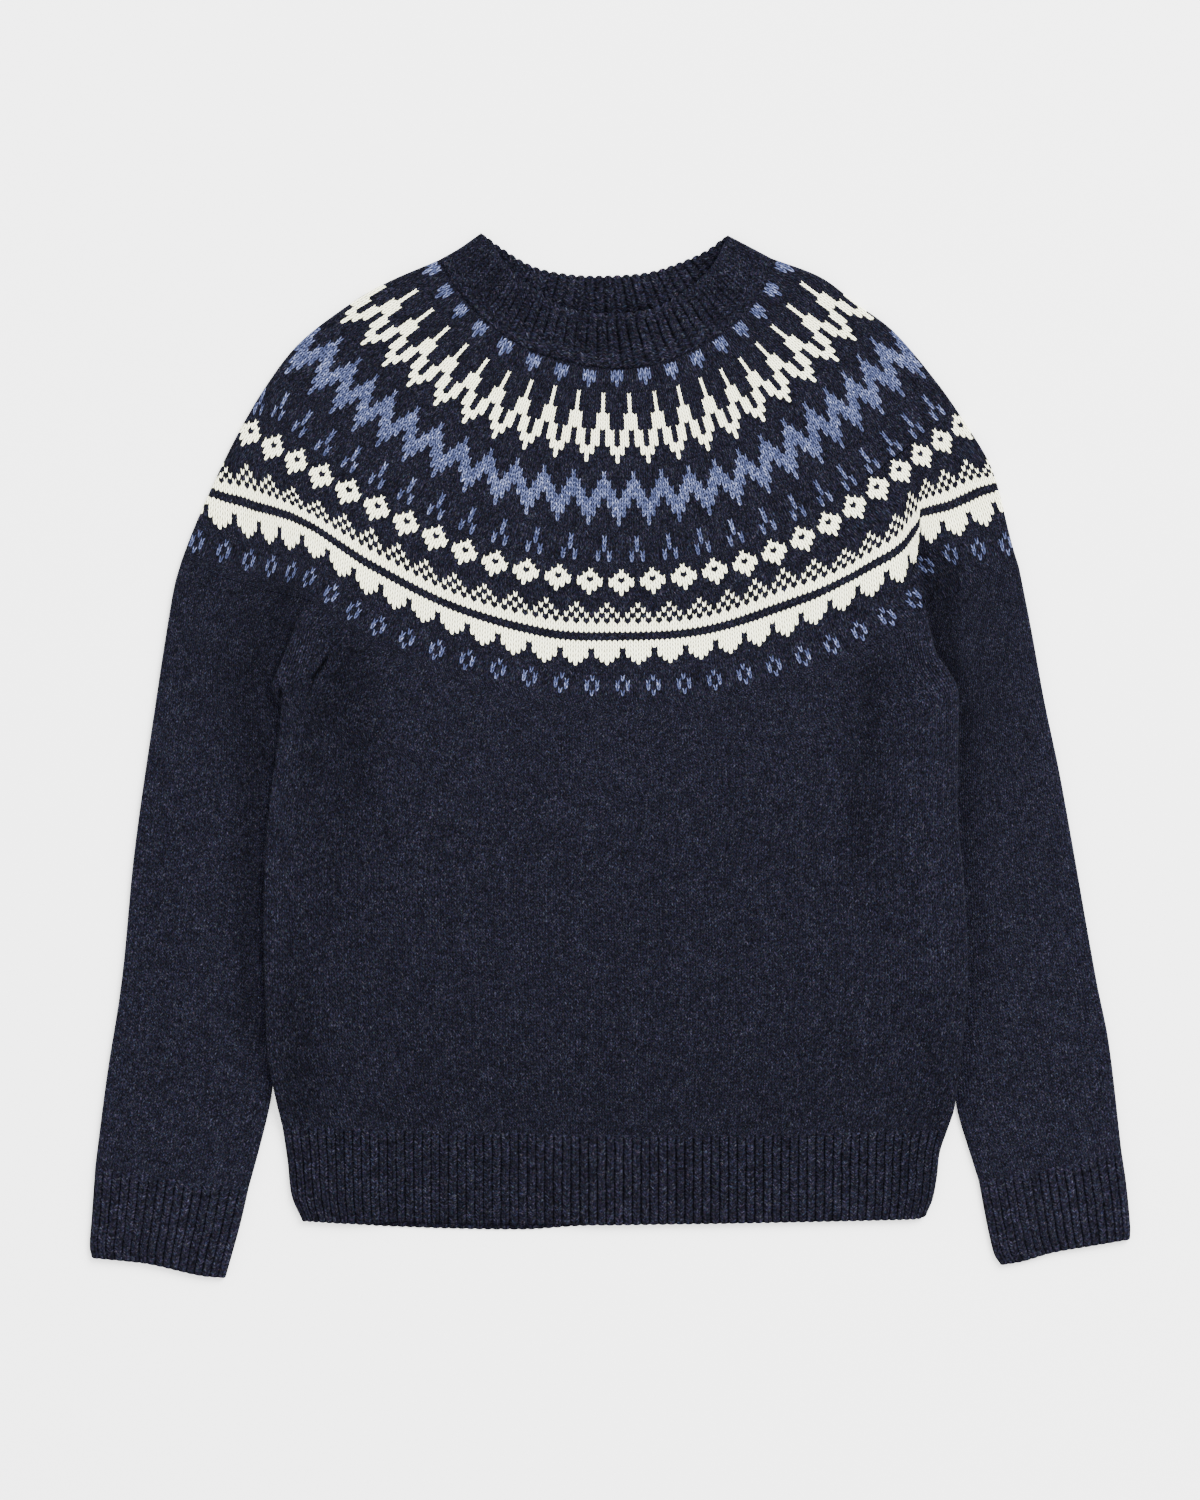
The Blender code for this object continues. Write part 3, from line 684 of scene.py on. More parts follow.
class Graph:
    """Short ways to add a material's nodes."""

    def __init__(self, name):
        self.material = bpy.data.materials.new(name)
        self.material.use_nodes = True
        self.tree = self.material.node_tree
        self.shader = self.tree.nodes["Principled BSDF"]

    def node(self, kind):
        return self.tree.nodes.new("ShaderNode" + kind)

    def link(self, value, socket):
        if isinstance(value, Value):
            value = value.socket
        if isinstance(value, bpy.types.NodeSocket):
            self.tree.links.new(value, socket)
        else:
            socket.default_value = value

    def math(self, operation, *values, clamp=False):
        node = self.node("Math")
        node.operation = operation
        node.use_clamp = clamp
        for value, socket in zip(values, node.inputs):
            self.link(value, socket)
        return Value(self, node.outputs[0])

    def floor(self, value):
        return self.math("FLOOR", value)

    def fraction(self, value):
        return self.math("FRACT", value)

    def higher(self, value, other):
        return self.math("MAXIMUM", value, other)

    def clamped(self, value):
        """The value, but 0 below 0 and 1 above 1."""
        return self.math("ADD", value, 0.0, clamp=True)

    def vector(self, x, y, z=0.0):
        node = self.node("CombineXYZ")
        for value, socket in zip((x, y, z), node.inputs):
            self.link(value, socket)
        return node.outputs[0]

    def noise(self, vector, detail=2.0, roughness=0.5):
        """Smooth noise with bumps about one unit apart: a number, and a colour."""
        node = self.node("TexNoise")
        self.link(vector, node.inputs["Vector"])
        node.inputs["Scale"].default_value = 1.0
        node.inputs["Detail"].default_value = detail
        node.inputs["Roughness"].default_value = roughness
        return Value(self, node.outputs["Fac"]), node.outputs["Color"]

    def scatter(self, x, y, z):
        """A random number for each place."""
        node = self.node("TexWhiteNoise")
        node.noise_dimensions = "3D"
        self.link(self.vector(x, y, z), node.inputs["Vector"])
        return Value(self, node.outputs["Value"])

    def attribute(self, name):
        node = self.node("Attribute")
        node.attribute_name = name
        return Value(self, node.outputs["Fac"])

    def colour_parts(self, name):
        """The red, green and blue of a colour attribute."""
        colours = self.node("VertexColor")
        colours.layer_name = name
        parts = self.node("SeparateColor")
        self.link(colours.outputs["Color"], parts.inputs[0])
        return [Value(self, output) for output in parts.outputs[:3]]

    def ramp(self, value, stops):
        node = self.node("ValToRGB")
        elements = node.color_ramp.elements
        while len(elements) < len(stops):
            elements.new(0.5)
        for element, (position, colour) in zip(elements, stops):
            element.position = position
            element.color = (*colour, 1.0)
        self.link(value, node.inputs["Fac"])
        return node.outputs["Color"]

    def blend(self, share, first, second, way="MIX"):
        node = self.node("Mix")
        node.data_type = "RGBA"
        node.blend_type = way
        for value, place in ((share, 0), (first, 6), (second, 7)):
            self.link(value, node.inputs[place])
        return node.outputs[2]

    def dimmed(self, colour, light):
        return self.blend(1.0, colour, self.vector(light, light, light), "MULTIPLY")

    def surface(self, values):
        for name, value in values.items():
            self.shader.inputs[name].default_value = value


# Each yarn's colours from its darkest fibres to its lightest.
NAVY_FIBRES = [
    (0.08, (0.00114, 0.00104, 0.00160)),
    (0.38, (0.00273, 0.00268, 0.00482)),
    (0.60, (0.0048, 0.0048, 0.0088)),
    (0.80, (0.0097, 0.0096, 0.0166)),
    (0.97, (0.0248, 0.0254, 0.0377)),
]
BLUE_FIBRES = [
    (0.08, (0.010, 0.0125, 0.0285)),
    (0.38, (0.0246, 0.030, 0.067)),
    (0.60, (0.047, 0.057, 0.116)),
    (0.82, (0.140, 0.159, 0.268)),
    (0.97, (0.305, 0.328, 0.455)),
]
CREAM_FIBRES = [
    (0.05, (0.72, 0.70, 0.49)),
    (0.45, (0.98, 0.97, 0.68)),
    (0.80, (1.0, 1.0, 0.78)),
]


DYE_SPREAD = (1.5, 0.7, 1.5)  # how much the fibres' red, green and blue differ
FIBRE_SPREAD = 1.5  # how much the lightness differs along and across a leg's fibres
SPECK_SPREAD = 0.52
LEG_SPREAD = 0.18
SLOW_SPREAD = 0.28
RIB_NARROWING = 1.175  # a rib's stitches are so much narrower than the room between valleys
LEG_START = 0.33  # how far from the V's middle a leg's own middle starts
LEG_LEAN = 0.34  # and how much further out it ends
WOOL_SURFACE = {
    "Roughness": 0.92,
    "Specular IOR Level": 0.01,
    "Sheen Weight": 0.01,
    "Sheen Roughness": 0.5,
    "Sheen Tint": (0.6, 0.66, 0.8, 1.0),
}
BUMP = {"Strength": 0.9, "Distance": 0.0007}


def knit_material(name, rib=False, patterned=False):
    """Wool knitted in V-shaped stitches, one to each unit of the knit coordinates."""
    graph = Graph(name)
    source = graph.node("UVMap")
    source.uv_map = "knit"
    place = graph.node("SeparateXYZ")
    graph.link(source.outputs[0], place.inputs[0])
    u, v = (Value(graph, output) for output in place.outputs[:2])
    if rib:
        # Ribs that wander a little
        wander, _ = graph.noise(graph.vector(u * 0.3, v * 0.2))
        u = (wander - 0.5) * 0.25 + u

    # The legs of the stitches: away is 0 in a V's middle and 1 at its sides, along goes from
    # 0 to 1 down a leg, and strand is the distance aside from the leg's own middle
    from_middle = abs(graph.fraction(u) - 0.5)
    away = graph.math("MINIMUM", from_middle * (2 * RIB_NARROWING if rib else 2.0), 1.0)
    risen = (away - 0.5) * -V_DROP + v
    along = graph.fraction(risen)
    leg = graph.floor(u * 2.0)
    strand = away - (along * LEG_LEAN + LEG_START)
    body = graph.clamped(1.0 - (abs(strand) * 1.9) ** 2.0)
    relief = body * (1.0 - abs(along * 2.0 - 1.0) ** 3.0 * 0.6)

    # Fibres along each leg, specks, a tone for each leg, and a slow mottle
    fibre_place = graph.vector(strand * 2.1 + leg * 7.31, risen * 1.5 + leg * 3.17)
    fibres, _ = graph.noise(fibre_place, 3.0, 0.75)
    specks = graph.scatter(graph.floor(u * 5.3), graph.floor(risen * 3.1), 0.3)
    tone = graph.scatter(leg, graph.floor(risen), 0.5)
    slow, _ = graph.noise(graph.vector(u * 0.34, v * 0.21), 3.0, 0.6)
    lightness = 0.5
    for part, spread in (
        (fibres, FIBRE_SPREAD),
        (specks, SPECK_SPREAD),
        (tone, LEG_SPREAD),
        (slow, SLOW_SPREAD),
    ):
        lightness = (part - 0.5) * spread + lightness
    colour = graph.ramp(lightness, NAVY_FIBRES)

    # Fibres of several blues
    _, dye = graph.noise(graph.vector(u * 2.6, v * 1.7, 4.0))
    tint = graph.node("VectorMath")
    tint.operation = "MULTIPLY_ADD"
    graph.link(dye, tint.inputs[0])
    tint.inputs[1].default_value = DYE_SPREAD
    tint.inputs[2].default_value = [1 - spread / 2 for spread in DYE_SPREAD]
    colour = graph.blend(1.0, colour, tint.outputs[0], "MULTIPLY")

    # Painted shade in the crevices between the stitches' legs
    shade = relief**0.5 * 0.40 + 0.66
    if rib:
        # Painted shade in the narrow valleys between ribs, which fade in and out
        patchy, _ = graph.noise(graph.vector(u * 1.3, v * 0.45, 2.0))
        depth = graph.clamped(patchy * -1.7 + 0.78 + graph.attribute("valley"))
        valley = graph.clamped((0.5 - from_middle + specks * 0.02) * -12.5 + 1.65) * depth
        rib_tone = graph.scatter(graph.floor(u), 0.0, 0.7)
        shade = shade * (valley * -0.84 + 1.10) * (rib_tone * 0.16 + 0.94)
    elif not patterned:
        # Painted shade between columns of legs that stand apart where the cloth is gathered
        between = abs(away * 2.0 - 1.0) ** 2.0
        shade = shade * ((between * -0.75 + 0.22) * graph.attribute("valley") + 1.0)
    colour = graph.dimmed(colour, shade)
    if patterned:
        cream_leg, blue_leg, _ = graph.colour_parts("yarn")
        beside, above, below = graph.colour_parts("edges")
        # A coloured leg is narrower beside another yarn, and rounder above and below one
        fuzz = fibres - 0.5
        side = graph.clamped((strand + fuzz) * 7.0 - 0.75) * beside
        margin = cream_leg * 0.10 + fuzz * 0.5
        outer = graph.higher(away - 0.4, 0.0) * 0.30
        inner = graph.higher(0.6 - away, 0.0) * 0.30
        top = graph.clamped((outer + along - 1.0 + margin) * 7.0) * above
        bottom = graph.clamped((inner - along + margin) * 7.0) * below
        kept = 1.0 - graph.higher(side, graph.higher(top, bottom))
        # Blue legs lie further apart than cream ones
        thin = graph.clamped(relief * 4.0 - specks * 1.6)
        colour = graph.blend(blue_leg * kept * thin, colour, graph.ramp(lightness, BLUE_FIBRES))
        # Cream legs, with painted shade in the gaps between them
        cream = graph.dimmed(graph.ramp(lightness, CREAM_FIBRES), relief**0.7 * 0.94 + 0.14)
        colour = graph.blend(cream_leg * kept, colour, cream)
    # Painted shade: each point's shade value darkens the colour here, and lightens it where negative
    colour = graph.dimmed(colour, 1.0 - graph.attribute("painted_shade"))
    graph.link(colour, graph.shader.inputs["Base Color"])

    bump = graph.node("Bump")
    for socket, value in BUMP.items():
        bump.inputs[socket].default_value = value
    graph.link(fibres * 0.5 + relief, bump.inputs["Height"])
    graph.link(bump.outputs[0], graph.shader.inputs["Normal"])
    graph.surface(WOOL_SURFACE)
    return graph.material


WOOL = knit_material("navy_knit")
RIBBED_WOOL = knit_material("navy_ribbing", rib=True)
PATTERNED_WOOL = knit_material("patterned_knit", patterned=True)


def dress(piece, slot, flat, rests_on, *nodes):
    """Puts a finished piece under the root and hides the solids that it stands for. Its slot, the cut of
    its cloth in millimetres and what it rests on are not used.
    """
    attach(piece, "root")
    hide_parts(*nodes)


# The yoke, as lines of stitches from its left fold to its right fold.
yoke_left = smooth_curve(LEFT_YOKE_FOLD)
yoke_right = smooth_curve(RIGHT_YOKE_FOLD)


FOLD_STEPS = 200  # how finely the folds are looked up


class FoldLine:
    """A shoulder fold, and whether a place lies outside it."""

    def __init__(self, curve, outwards):
        self.curve = curve
        self.outwards = outwards
        self.reaches = [outwards * curve(i / FOLD_STEPS)[0] for i in range(FOLD_STEPS + 1)]

    def share(self, x):
        """The fold's share at this x."""
        reach = self.outwards * x
        i = section(self.reaches, reach)
        run = self.reaches[i + 1] - self.reaches[i]
        return clamp((i + (reach - self.reaches[i]) / run) / FOLD_STEPS)

    def outside(self, x, y):
        reach = self.outwards * x
        if reach < self.reaches[0]:
            return False
        if reach > self.reaches[-1]:
            return True
        return y > self.curve(self.share(x))[1]


LEFT_SIDE = FoldLine(yoke_left, -1)
RIGHT_SIDE = FoldLine(yoke_right, 1)


def line_rise(wale):
    """How far the checks' dark line lies above its even place at this wale."""
    marks = [row[0] for row in LINE_RISES]
    i = section(marks, wale)
    share = clamp((wale - marks[i]) / (marks[i + 1] - marks[i]))
    return mix(LINE_RISES[i][1], LINE_RISES[i + 1][1], share)


class Band:
    """A band of rows, laid out by one or two curves of stations."""

    def __init__(self, top_level, gap, chart, total, upper, upper_level, lower=None, lower_level=0):
        self.top_level = top_level
        self.gap = gap
        self.chart = chart
        self.total = total
        self.upper = stations(upper)
        self.upper_level = upper_level
        self.lower = stations(lower) if lower else None
        self.lower_level = lower_level
        self.first = upper[0][0]
        self.last = upper[-1][0]

    def place(self, wale, level):
        """Where a wale is at this level below the neck seam."""
        here = self.upper(wale)
        if self.lower:
            span = self.lower_level - self.upper_level
            if self.upper_level < LINE_LEVEL < self.lower_level:
                above = (level - self.upper_level) / (LINE_LEVEL - self.upper_level)
                below = (self.lower_level - level) / (self.lower_level - LINE_LEVEL)
                level -= line_rise(wale) * max(min(above, below), 0.0)
            return mix_places(here, self.lower(wale), (level - self.upper_level) / span)
        before = self.upper(wale - 9)
        after = self.upper(wale + 9)
        length = math.dist(before, after)
        outward = ((after[1] - before[1]) / length, (before[0] - after[0]) / length)
        to_side = abs(2 * (wale - self.first) / (self.last - self.first) - 1)
        down = (level - self.upper_level) * (1 + SIDE_STRETCH * to_side**2)
        return (here[0] + outward[0] * down, here[1] + outward[1] * down)


# Each band's top level below the neck seam, the plain rows above it, its chart, its wales
# all round the yoke, and its stations with their levels.
BANDS = [
    Band(2.1, 1, DOT_CHART, 192, DOTS, 7.7),
    Band(17.5, 2, CREAM_CHART, 240, CREAM_TOPS, 17.5, CREAM_TIPS, 66.7),
    Band(72.5, 2, BLUE_CHART, 288, BLUE_TOPS, 72.5, BLUE_TIPS, 109.5),
    Band(116.9, 3, TREFOIL_CHART, 294, TREFOILS, 125.7),
    Band(140.7, 3, DIAMOND_CHART, 312, DIAMONDS, 149.5),
    Band(163.1, 2, CHECK_CHART, 342, CHECK_PEAKS, 165.2, SCALLOP_TIPS, 207.5),
    Band(215.4, 3, RING_CHART, 360, RINGS, 221.6),
]
YOKE_LENGTH = 240.0


class Line:
    """A line between two rows of stitches, across the front of the yoke.

    spots holds (wale, half wale or None, x, y, v) from the left fold to the right one, and
    total is the number of wales all round.
    """

    def __init__(self, total, spots, left_share, right_share, course, zigzag, level, shares=None):
        self.total = total
        self.spots = spots
        self.left_share = left_share
        self.right_share = right_share
        self.course = course
        self.zigzag = zigzag
        self.level = level
        self.reach = lengths_along([spot[2:4] for spot in spots])
        self.shares = shares or [reach / self.reach[-1] for reach in self.reach]

    def at_share(self, share):
        """The place at this share of the line's length."""
        along = share * self.reach[-1]
        i = section(self.reach, along)
        part = (along - self.reach[i]) / (self.reach[i + 1] - self.reach[i])
        return mix_places(self.spots[i][2:4], self.spots[i + 1][2:4], part)


HALVINGS = 24  # how often the search for a fold halves its span


def fold_crossing(side, band, level, start, step):
    """The wale at which a band's line meets a fold, going out from a wale that is inside."""
    wale = start
    while not side.outside(*band.place(wale + step, level)):
        wale += step
    inside, beyond = wale, wale + step
    for _ in range(HALVINGS):
        middle = (inside + beyond) / 2
        if side.outside(*band.place(middle, level)):
            beyond = middle
        else:
            inside = middle
    return inside


CLEAR_OF_FOLD = 2.0  # the least distance from a line's end to its next spot


def leg_shift(half):
    """How far below a line a stitch's middle (an even half) or side (odd) lies, in rows."""
    return -0.5 * V_DROP if half % 2 else 0.5 * V_DROP


def band_line(band, level, course, row_height, zigzag):
    """A line of the band at this level, with a spot at each stitch's sides and middle."""
    middle = round((band.first + band.last) / 2)
    first = fold_crossing(LEFT_SIDE, band, level, middle, -1)
    last = fold_crossing(RIGHT_SIDE, band, level, middle, 1)
    left = band.place(first, level)
    right = band.place(last, level)
    left_share = LEFT_SIDE.share(left[0])
    right_share = RIGHT_SIDE.share(right[0])
    spots = [(first, None, *yoke_left(left_share), -course)]
    for half in range(math.ceil(2 * first), math.floor(2 * last) + 1):
        wale = half / 2
        shift = leg_shift(half) if zigzag else 0.0
        x, y = band.place(wale, level + shift * row_height)
        near_left = math.dist((x, y), left) < CLEAR_OF_FOLD
        near_right = math.dist((x, y), right) < CLEAR_OF_FOLD
        outside = LEFT_SIDE.outside(x, y) or RIGHT_SIDE.outside(x, y)
        if near_left or near_right or outside:
            continue
        spots.append((wale, half, x, y, -course - shift))
    spots.append((last, None, *yoke_right(right_share), -course))
    return Line(band.total, spots, left_share, right_share, course, zigzag, level)


def pin_to_folds(spots, left_share, right_share, course):
    """Puts a line's first and last spots on the folds."""
    spots[0] = (*spots[0][:2], *yoke_left(left_share), -course)
    spots[-1] = (*spots[-1][:2], *yoke_right(right_share), -course)


def gap_line(line, other, part, course):
    """A smooth line part of the way from a line to another, with the first one's wales."""
    left_share = mix(line.left_share, other.left_share, part)
    right_share = mix(line.right_share, other.right_share, part)
    spots = []
    for (wale, half, x, y, v), share in zip(line.spots, line.shares):
        place = mix_places((x, y), other.at_share(share), part)
        spots.append((wale, half, *place, -course))
    pin_to_folds(spots, left_share, right_share, course)
    level = mix(line.level, other.level, part)
    return Line(line.total, spots, left_share, right_share, course, False, level, line.shares)


def seam_line():
    """The yoke's upper edge on the front, at the neck seam."""
    curve = smooth_curve(FRONT_NECK_SEAM)
    spots = [(wale, None, *curve(wale / 96), 0.0) for wale in range(97)]
    return Line(192, spots, 0.0, 0.0, 0, False, 0.0)


edge_left = smooth_curve(YOKE_EDGE_LEFT)
edge_front = smooth_curve(YOKE_EDGE_FRONT)
edge_right = smooth_curve(YOKE_EDGE_RIGHT)
left_gap = smooth_curve([YOKE_EDGE_LEFT[-1], YOKE_EDGE_FRONT[0]])
right_gap = smooth_curve([YOKE_EDGE_FRONT[-1], YOKE_EDGE_RIGHT[0]])


def raised_back_edge(share):
    """The yoke's lower edge on the back, which is higher than on the front."""
    x, y = edge_front(share)
    return (x, y + BACK_YOKE_RISE * math.sin(math.pi * share) ** 1.5)


front_edge = joined(edge_left, left_gap, edge_front, right_gap, edge_right)
EDGE_JOINS = joins(edge_left, left_gap, edge_front, right_gap, edge_right)
back_edge = joined(edge_left, left_gap, raised_back_edge, right_gap, edge_right)
back_yoke = patch(smooth_curve(BACK_NECK_SEAM), back_edge, yoke_left, yoke_right)


PLAIN = "...."  # the yarns of a plain row

# The stitches between two lines, with the yarns of their row and of the rows above and below
STRIP_PARTS = ("upper", "lower", "yarns", "same_wales", "above", "below")
Strip = namedtuple("Strip", STRIP_PARTS, defaults=(PLAIN, PLAIN))


def edge_share(wale, first, last):
    """Where a wale below the rings meets the yoke's lower edge, as a share of the edge."""
    marks = [first, LEFT_UNDERARM_WALE, RIGHT_UNDERARM_WALE, last]
    shares = [0.0, EDGE_JOINS[0], EDGE_JOINS[3], 1.0]
    i = section(marks, wale)
    return mix(shares[i], shares[i + 1], (wale - marks[i]) / (marks[i + 1] - marks[i]))


def front_strips():
    """Every row of the yoke's front, from the neck to its lower edge."""
    strips = []
    above = smooth = seam_line()
    course = 0
    below_a_band = False
    for band in BANDS:
        rows = [(height, yarns) for count, height, yarns in band.chart for _ in range(count)]
        top = band_line(band, band.top_level, course + band.gap, rows[0][0], True)
        smooth_top = band_line(band, band.top_level, course + band.gap, rows[0][0], False)
        if below_a_band:
            line = gap_line(smooth, smooth_top, GAP_PARTS[0], course + GAP_PARTS[0] * band.gap)
            strips.append(Strip(above, line, PLAIN, True))
            above = line
        part = GAP_PARTS[1] if below_a_band else FIRST_GAP_PART
        line = gap_line(smooth_top, smooth, 1 - part, course + part * band.gap)
        strips.append(Strip(above, line, PLAIN, False))
        strips.append(Strip(line, top, PLAIN, True))
        above = top
        level = band.top_level
        course += band.gap
        for i, (height, yarns) in enumerate(rows):
            level += height
            course += 1
            line = band_line(band, level, course, height, True)
            row_above = rows[i - 1][1] if i > 0 else PLAIN
            row_below = rows[i + 1][1] if i + 1 < len(rows) else PLAIN
            strips.append(Strip(above, line, yarns, True, row_above, row_below))
            above = line
        smooth = band_line(band, level, course, height, False)
        below_a_band = True
    first = smooth.spots[0][0]
    last = smooth.spots[-1][0]
    for i in range(1, LAST_ROWS + 1):
        course += 1
        part = i / LAST_ROWS
        spots = []
        for wale, half, x, y, v in smooth.spots:
            place = mix_places((x, y), front_edge(edge_share(wale, first, last)), part)
            spots.append((wale, half, *place, -course))
        left_share = mix(smooth.left_share, 1.0, part)
        right_share = mix(smooth.right_share, 1.0, part)
        pin_to_folds(spots, left_share, right_share, course)
        level = mix(smooth.level, YOKE_LENGTH, part)
        line = Line(smooth.total, spots, left_share, right_share, course, False, level)
        strips.append(Strip(above, line, PLAIN, True))
        above = line
    return strips


FOLD_ANGLES = (0, 30, 60)  # where the yoke's rounded sides have points, in degrees


def rounded(distance, radius):
    """How far a flattened tube's side has turned to flat, at this distance from its fold."""
    if distance >= radius:
        return 1.0
    return math.sqrt(max(0.0, 1 - (1 - distance / radius) ** 2))


def raise_line(cloth, spots, shares, facing, relief):
    """Points for a line's spots, with the rounded sides added: (wale, half, point, v, share)."""
    radius = DEPTH / 2
    marks = []
    for end, step in ((0, 1), (-1, -1)):
        wale, half, x, y, v = spots[end]
        next_wale, _, next_x, next_y, next_v = spots[end + step]
        gap = math.dist((x, y), (next_x, next_y))
        side = []
        for angle in FOLD_ANGLES:
            part = radius * (1 - math.cos(math.radians(angle))) / gap
            place = mix_places((x, y), (next_x, next_y), part)
            share = mix(shares[end], shares[end + step], part)
            side.append((mix(wale, next_wale, part), None, *place, mix(v, next_v, part), share))
        marks.append(side if end == 0 else side[::-1])
    middle = [(*spot, share) for spot, share in zip(spots[1:-1], shares[1:-1])]
    ends = (spots[0][2:4], spots[-1][2:4])
    made = []
    for wale, half, x, y, v, share in marks[0] + middle + marks[1]:
        inset = min(math.dist((x, y), end) for end in ends)
        turned = rounded(inset, radius)
        z = radius + facing * radius * turned + lift(x, y) + turned * relief(x, y)
        dark = painted_shade_front(x, y) if facing > 0 else 0.0
        made.append((wale, half, cloth.point(x, y, z, dark), v, share))
    return made


def zip_lines(cloth, upper, lower, key, corner_of, yarn_of):
    """Triangles between two runs of marks that needn't match."""
    i = j = 0
    while i < len(upper) - 1 or j < len(lower) - 1:
        forward = j == len(lower) - 1
        if not forward and i < len(upper) - 1:
            forward = key(upper[i + 1]) <= key(lower[j + 1])
        if forward:
            corners = [(upper[i], 0), (lower[j], 1), (upper[i + 1], 0)]
            i += 1
        else:
            corners = [(upper[i], 0), (lower[j], 1), (lower[j + 1], 1)]
            j += 1
        made = [corner_of(mark, which) for mark, which in corners]
        cloth.face(made, yarn_of(sum(corner[1] for corner in made) / 3 - 0.5))


def knit_strip(cloth, strip, upper, lower):
    """The faces of one row of stitches between two raised lines."""

    def column_of(wale):
        return abs((math.floor(wale + 0.5) + 3) % 6 - 3)

    def yarn_of(wale):
        return strip.yarns[column_of(wale)]

    if not strip.same_wales:
        wales = [(mark[4], mark[0]) for mark in lower]
        shares = [share for share, wale in wales]

        def corner_of(mark, which):
            if which:
                return (mark[2], mark[0] + 0.5, mark[3])
            i = section(shares, mark[4])
            part = (mark[4] - shares[i]) / (shares[i + 1] - shares[i])
            return (mark[2], mix(wales[i][1], wales[i + 1][1], part) + 0.5, mark[3])

        zip_lines(cloth, upper, lower, lambda mark: mark[4], corner_of, yarn_of)
        return

    def own_corner(mark, which):
        return (mark[2], mark[0] + 0.5, mark[3])

    above = {mark[1]: i for i, mark in enumerate(upper) if mark[1] is not None}
    below = {mark[1]: i for i, mark in enumerate(lower) if mark[1] is not None}
    shared = sorted(set(above) & set(below))
    first, last = shared[0], shared[-1]
    ends = (
        (upper[: above[first] + 1], lower[: below[first] + 1]),
        (upper[above[last] :], lower[below[last] :]),
    )
    for over, under in ends:
        zip_lines(cloth, over, under, lambda mark: mark[0], own_corner, yarn_of)
    for half in range(first, last):
        corners = [upper[above[half]], lower[below[half]], lower[below[half + 1]], upper[above[half + 1]]]
        wale = half / 2 + 0.25
        yarn = yarn_of(wale)
        column = column_of(wale)
        beside = yarn_of(wale - 0.5 if half % 2 else wale + 0.5)
        near = (beside, strip.above[column], strip.below[column])
        edges = [float(other != yarn) for other in near]
        cloth.face([own_corner(mark, 0) for mark in corners], yarn, edges)


def front_yoke_piece(strips):
    cloth = Cloth()
    raised = {}
    for strip in strips:
        for line in (strip.upper, strip.lower):
            if id(line) not in raised:
                raised[id(line)] = raise_line(cloth, line.spots, line.shares, 1, front_relief)
        knit_strip(cloth, strip, raised[id(strip.upper)], raised[id(strip.lower)])
    return cloth.make("yoke_front_knit", PATTERNED_WOOL, patterned=True)


BACK_ROW = 3.0  # the height of a row on the back, by which its stitches zigzag


def back_line(line):
    """The line's other half, on the back, with its wales going on from the right fold."""
    first = line.spots[0][0]
    last = line.spots[-1][0]
    count = line.total - (last - first)
    middle_share = clamp(line.level / YOKE_LENGTH)

    def place(wale, level):
        t = 1 - (wale - last) / count
        side = mix(line.left_share, line.right_share, t)
        bulge = 1 - abs(2 * t - 1) ** 2.2
        s = mix(side, middle_share, bulge) + level / YOKE_LENGTH
        return back_yoke(clamp(t), clamp(s))

    spots = [(last, None, *yoke_right(line.right_share), -line.course)]
    for half in range(math.ceil(2 * last + 1), math.floor(2 * (last + count) - 1) + 1):
        wale = half / 2
        shift = leg_shift(half) if line.zigzag else 0.0
        x, y = place(wale, shift * BACK_ROW)
        spots.append((wale, half, x, y, -line.course - shift))
    spots.append((last + count, None, *yoke_left(line.left_share), -line.course))
    reach = lengths_along([spot[2:4] for spot in spots])
    return spots, [along / reach[-1] for along in reach]


def back_yoke_piece(strips):
    cloth = Cloth()
    raised = {}
    for strip in strips:
        pair = []
        for line in (strip.upper, strip.lower):
            if id(line) not in raised:
                spots, shares = back_line(line)
                raised[id(line)] = raise_line(cloth, spots, shares, -1, nothing)
            pair.append(raised[id(line)])
        knit_strip(cloth, strip, *pair)
    return cloth.make("yoke_back_knit", PATTERNED_WOOL, patterned=True)


strips = front_strips()
yoke_front = front_yoke_piece(strips)
yoke_back = back_yoke_piece(strips)


SIDE_ANGLES = (0, 20, 40, 60, 80)  # where a panel's rounded sides have points, in degrees


class Panel:
    """One layer of a flattened tube: a place for each share across and down, on either skin."""

    def __init__(self, plan, other, facing, relief, lifted=1, depths=(DEPTH, DEPTH), rolled=None):
        self.plan = plan
        self.other = other
        self.facing = facing
        self.relief = relief
        self.lifted = lifted
        self.depths = depths
        self.rolled = rolled

    def marks(self, s, shares, skin=0.0):
        """(share, x, y, z) across the panel at row s, folds included.

        shares lie between the folds, each with its own relief.
        """
        width = math.dist(self.plan(0, s), self.plan(1, s))
        left_radius, right_radius = (depth / 2 for depth in self.depths)

        def round_side(radius):
            turns = [math.radians(angle) for angle in SIDE_ANGLES]
            return [((radius - (radius - skin) * math.cos(a)) / width, math.sin(a)) for a in turns]

        marks = [(inset, turned, 0.0) for inset, turned in round_side(left_radius)]
        first = left_radius / width
        last = 1 - right_radius / width
        for share, height in shares:
            if 0 <= share <= 1:
                marks.append((first + share * (last - first), 1.0, height))
        for inset, turned in reversed(round_side(right_radius)):
            marks.append((1 - inset, turned, 0.0))
        places = []
        for t, turned, height in marks:
            own = 0.5 + 0.5 * turned
            x, y = (own * a + (1 - own) * b for a, b in zip(self.plan(t, s), self.other(t, s)))
            if self.rolled:
                turned = 1 - (1 - turned) * self.rolled(x, y)
            radius = left_radius + (right_radius - left_radius) * t
            z = radius + self.facing * turned * (radius - skin)
            z += lift(x, y) * self.lifted
            z += height * turned
            if self.facing > 0:
                z += turned * self.relief(x, y)
            places.append((t, x, y, z))
        return places


def even(count):
    return [(i / count, 0.0) for i in range(count + 1)]


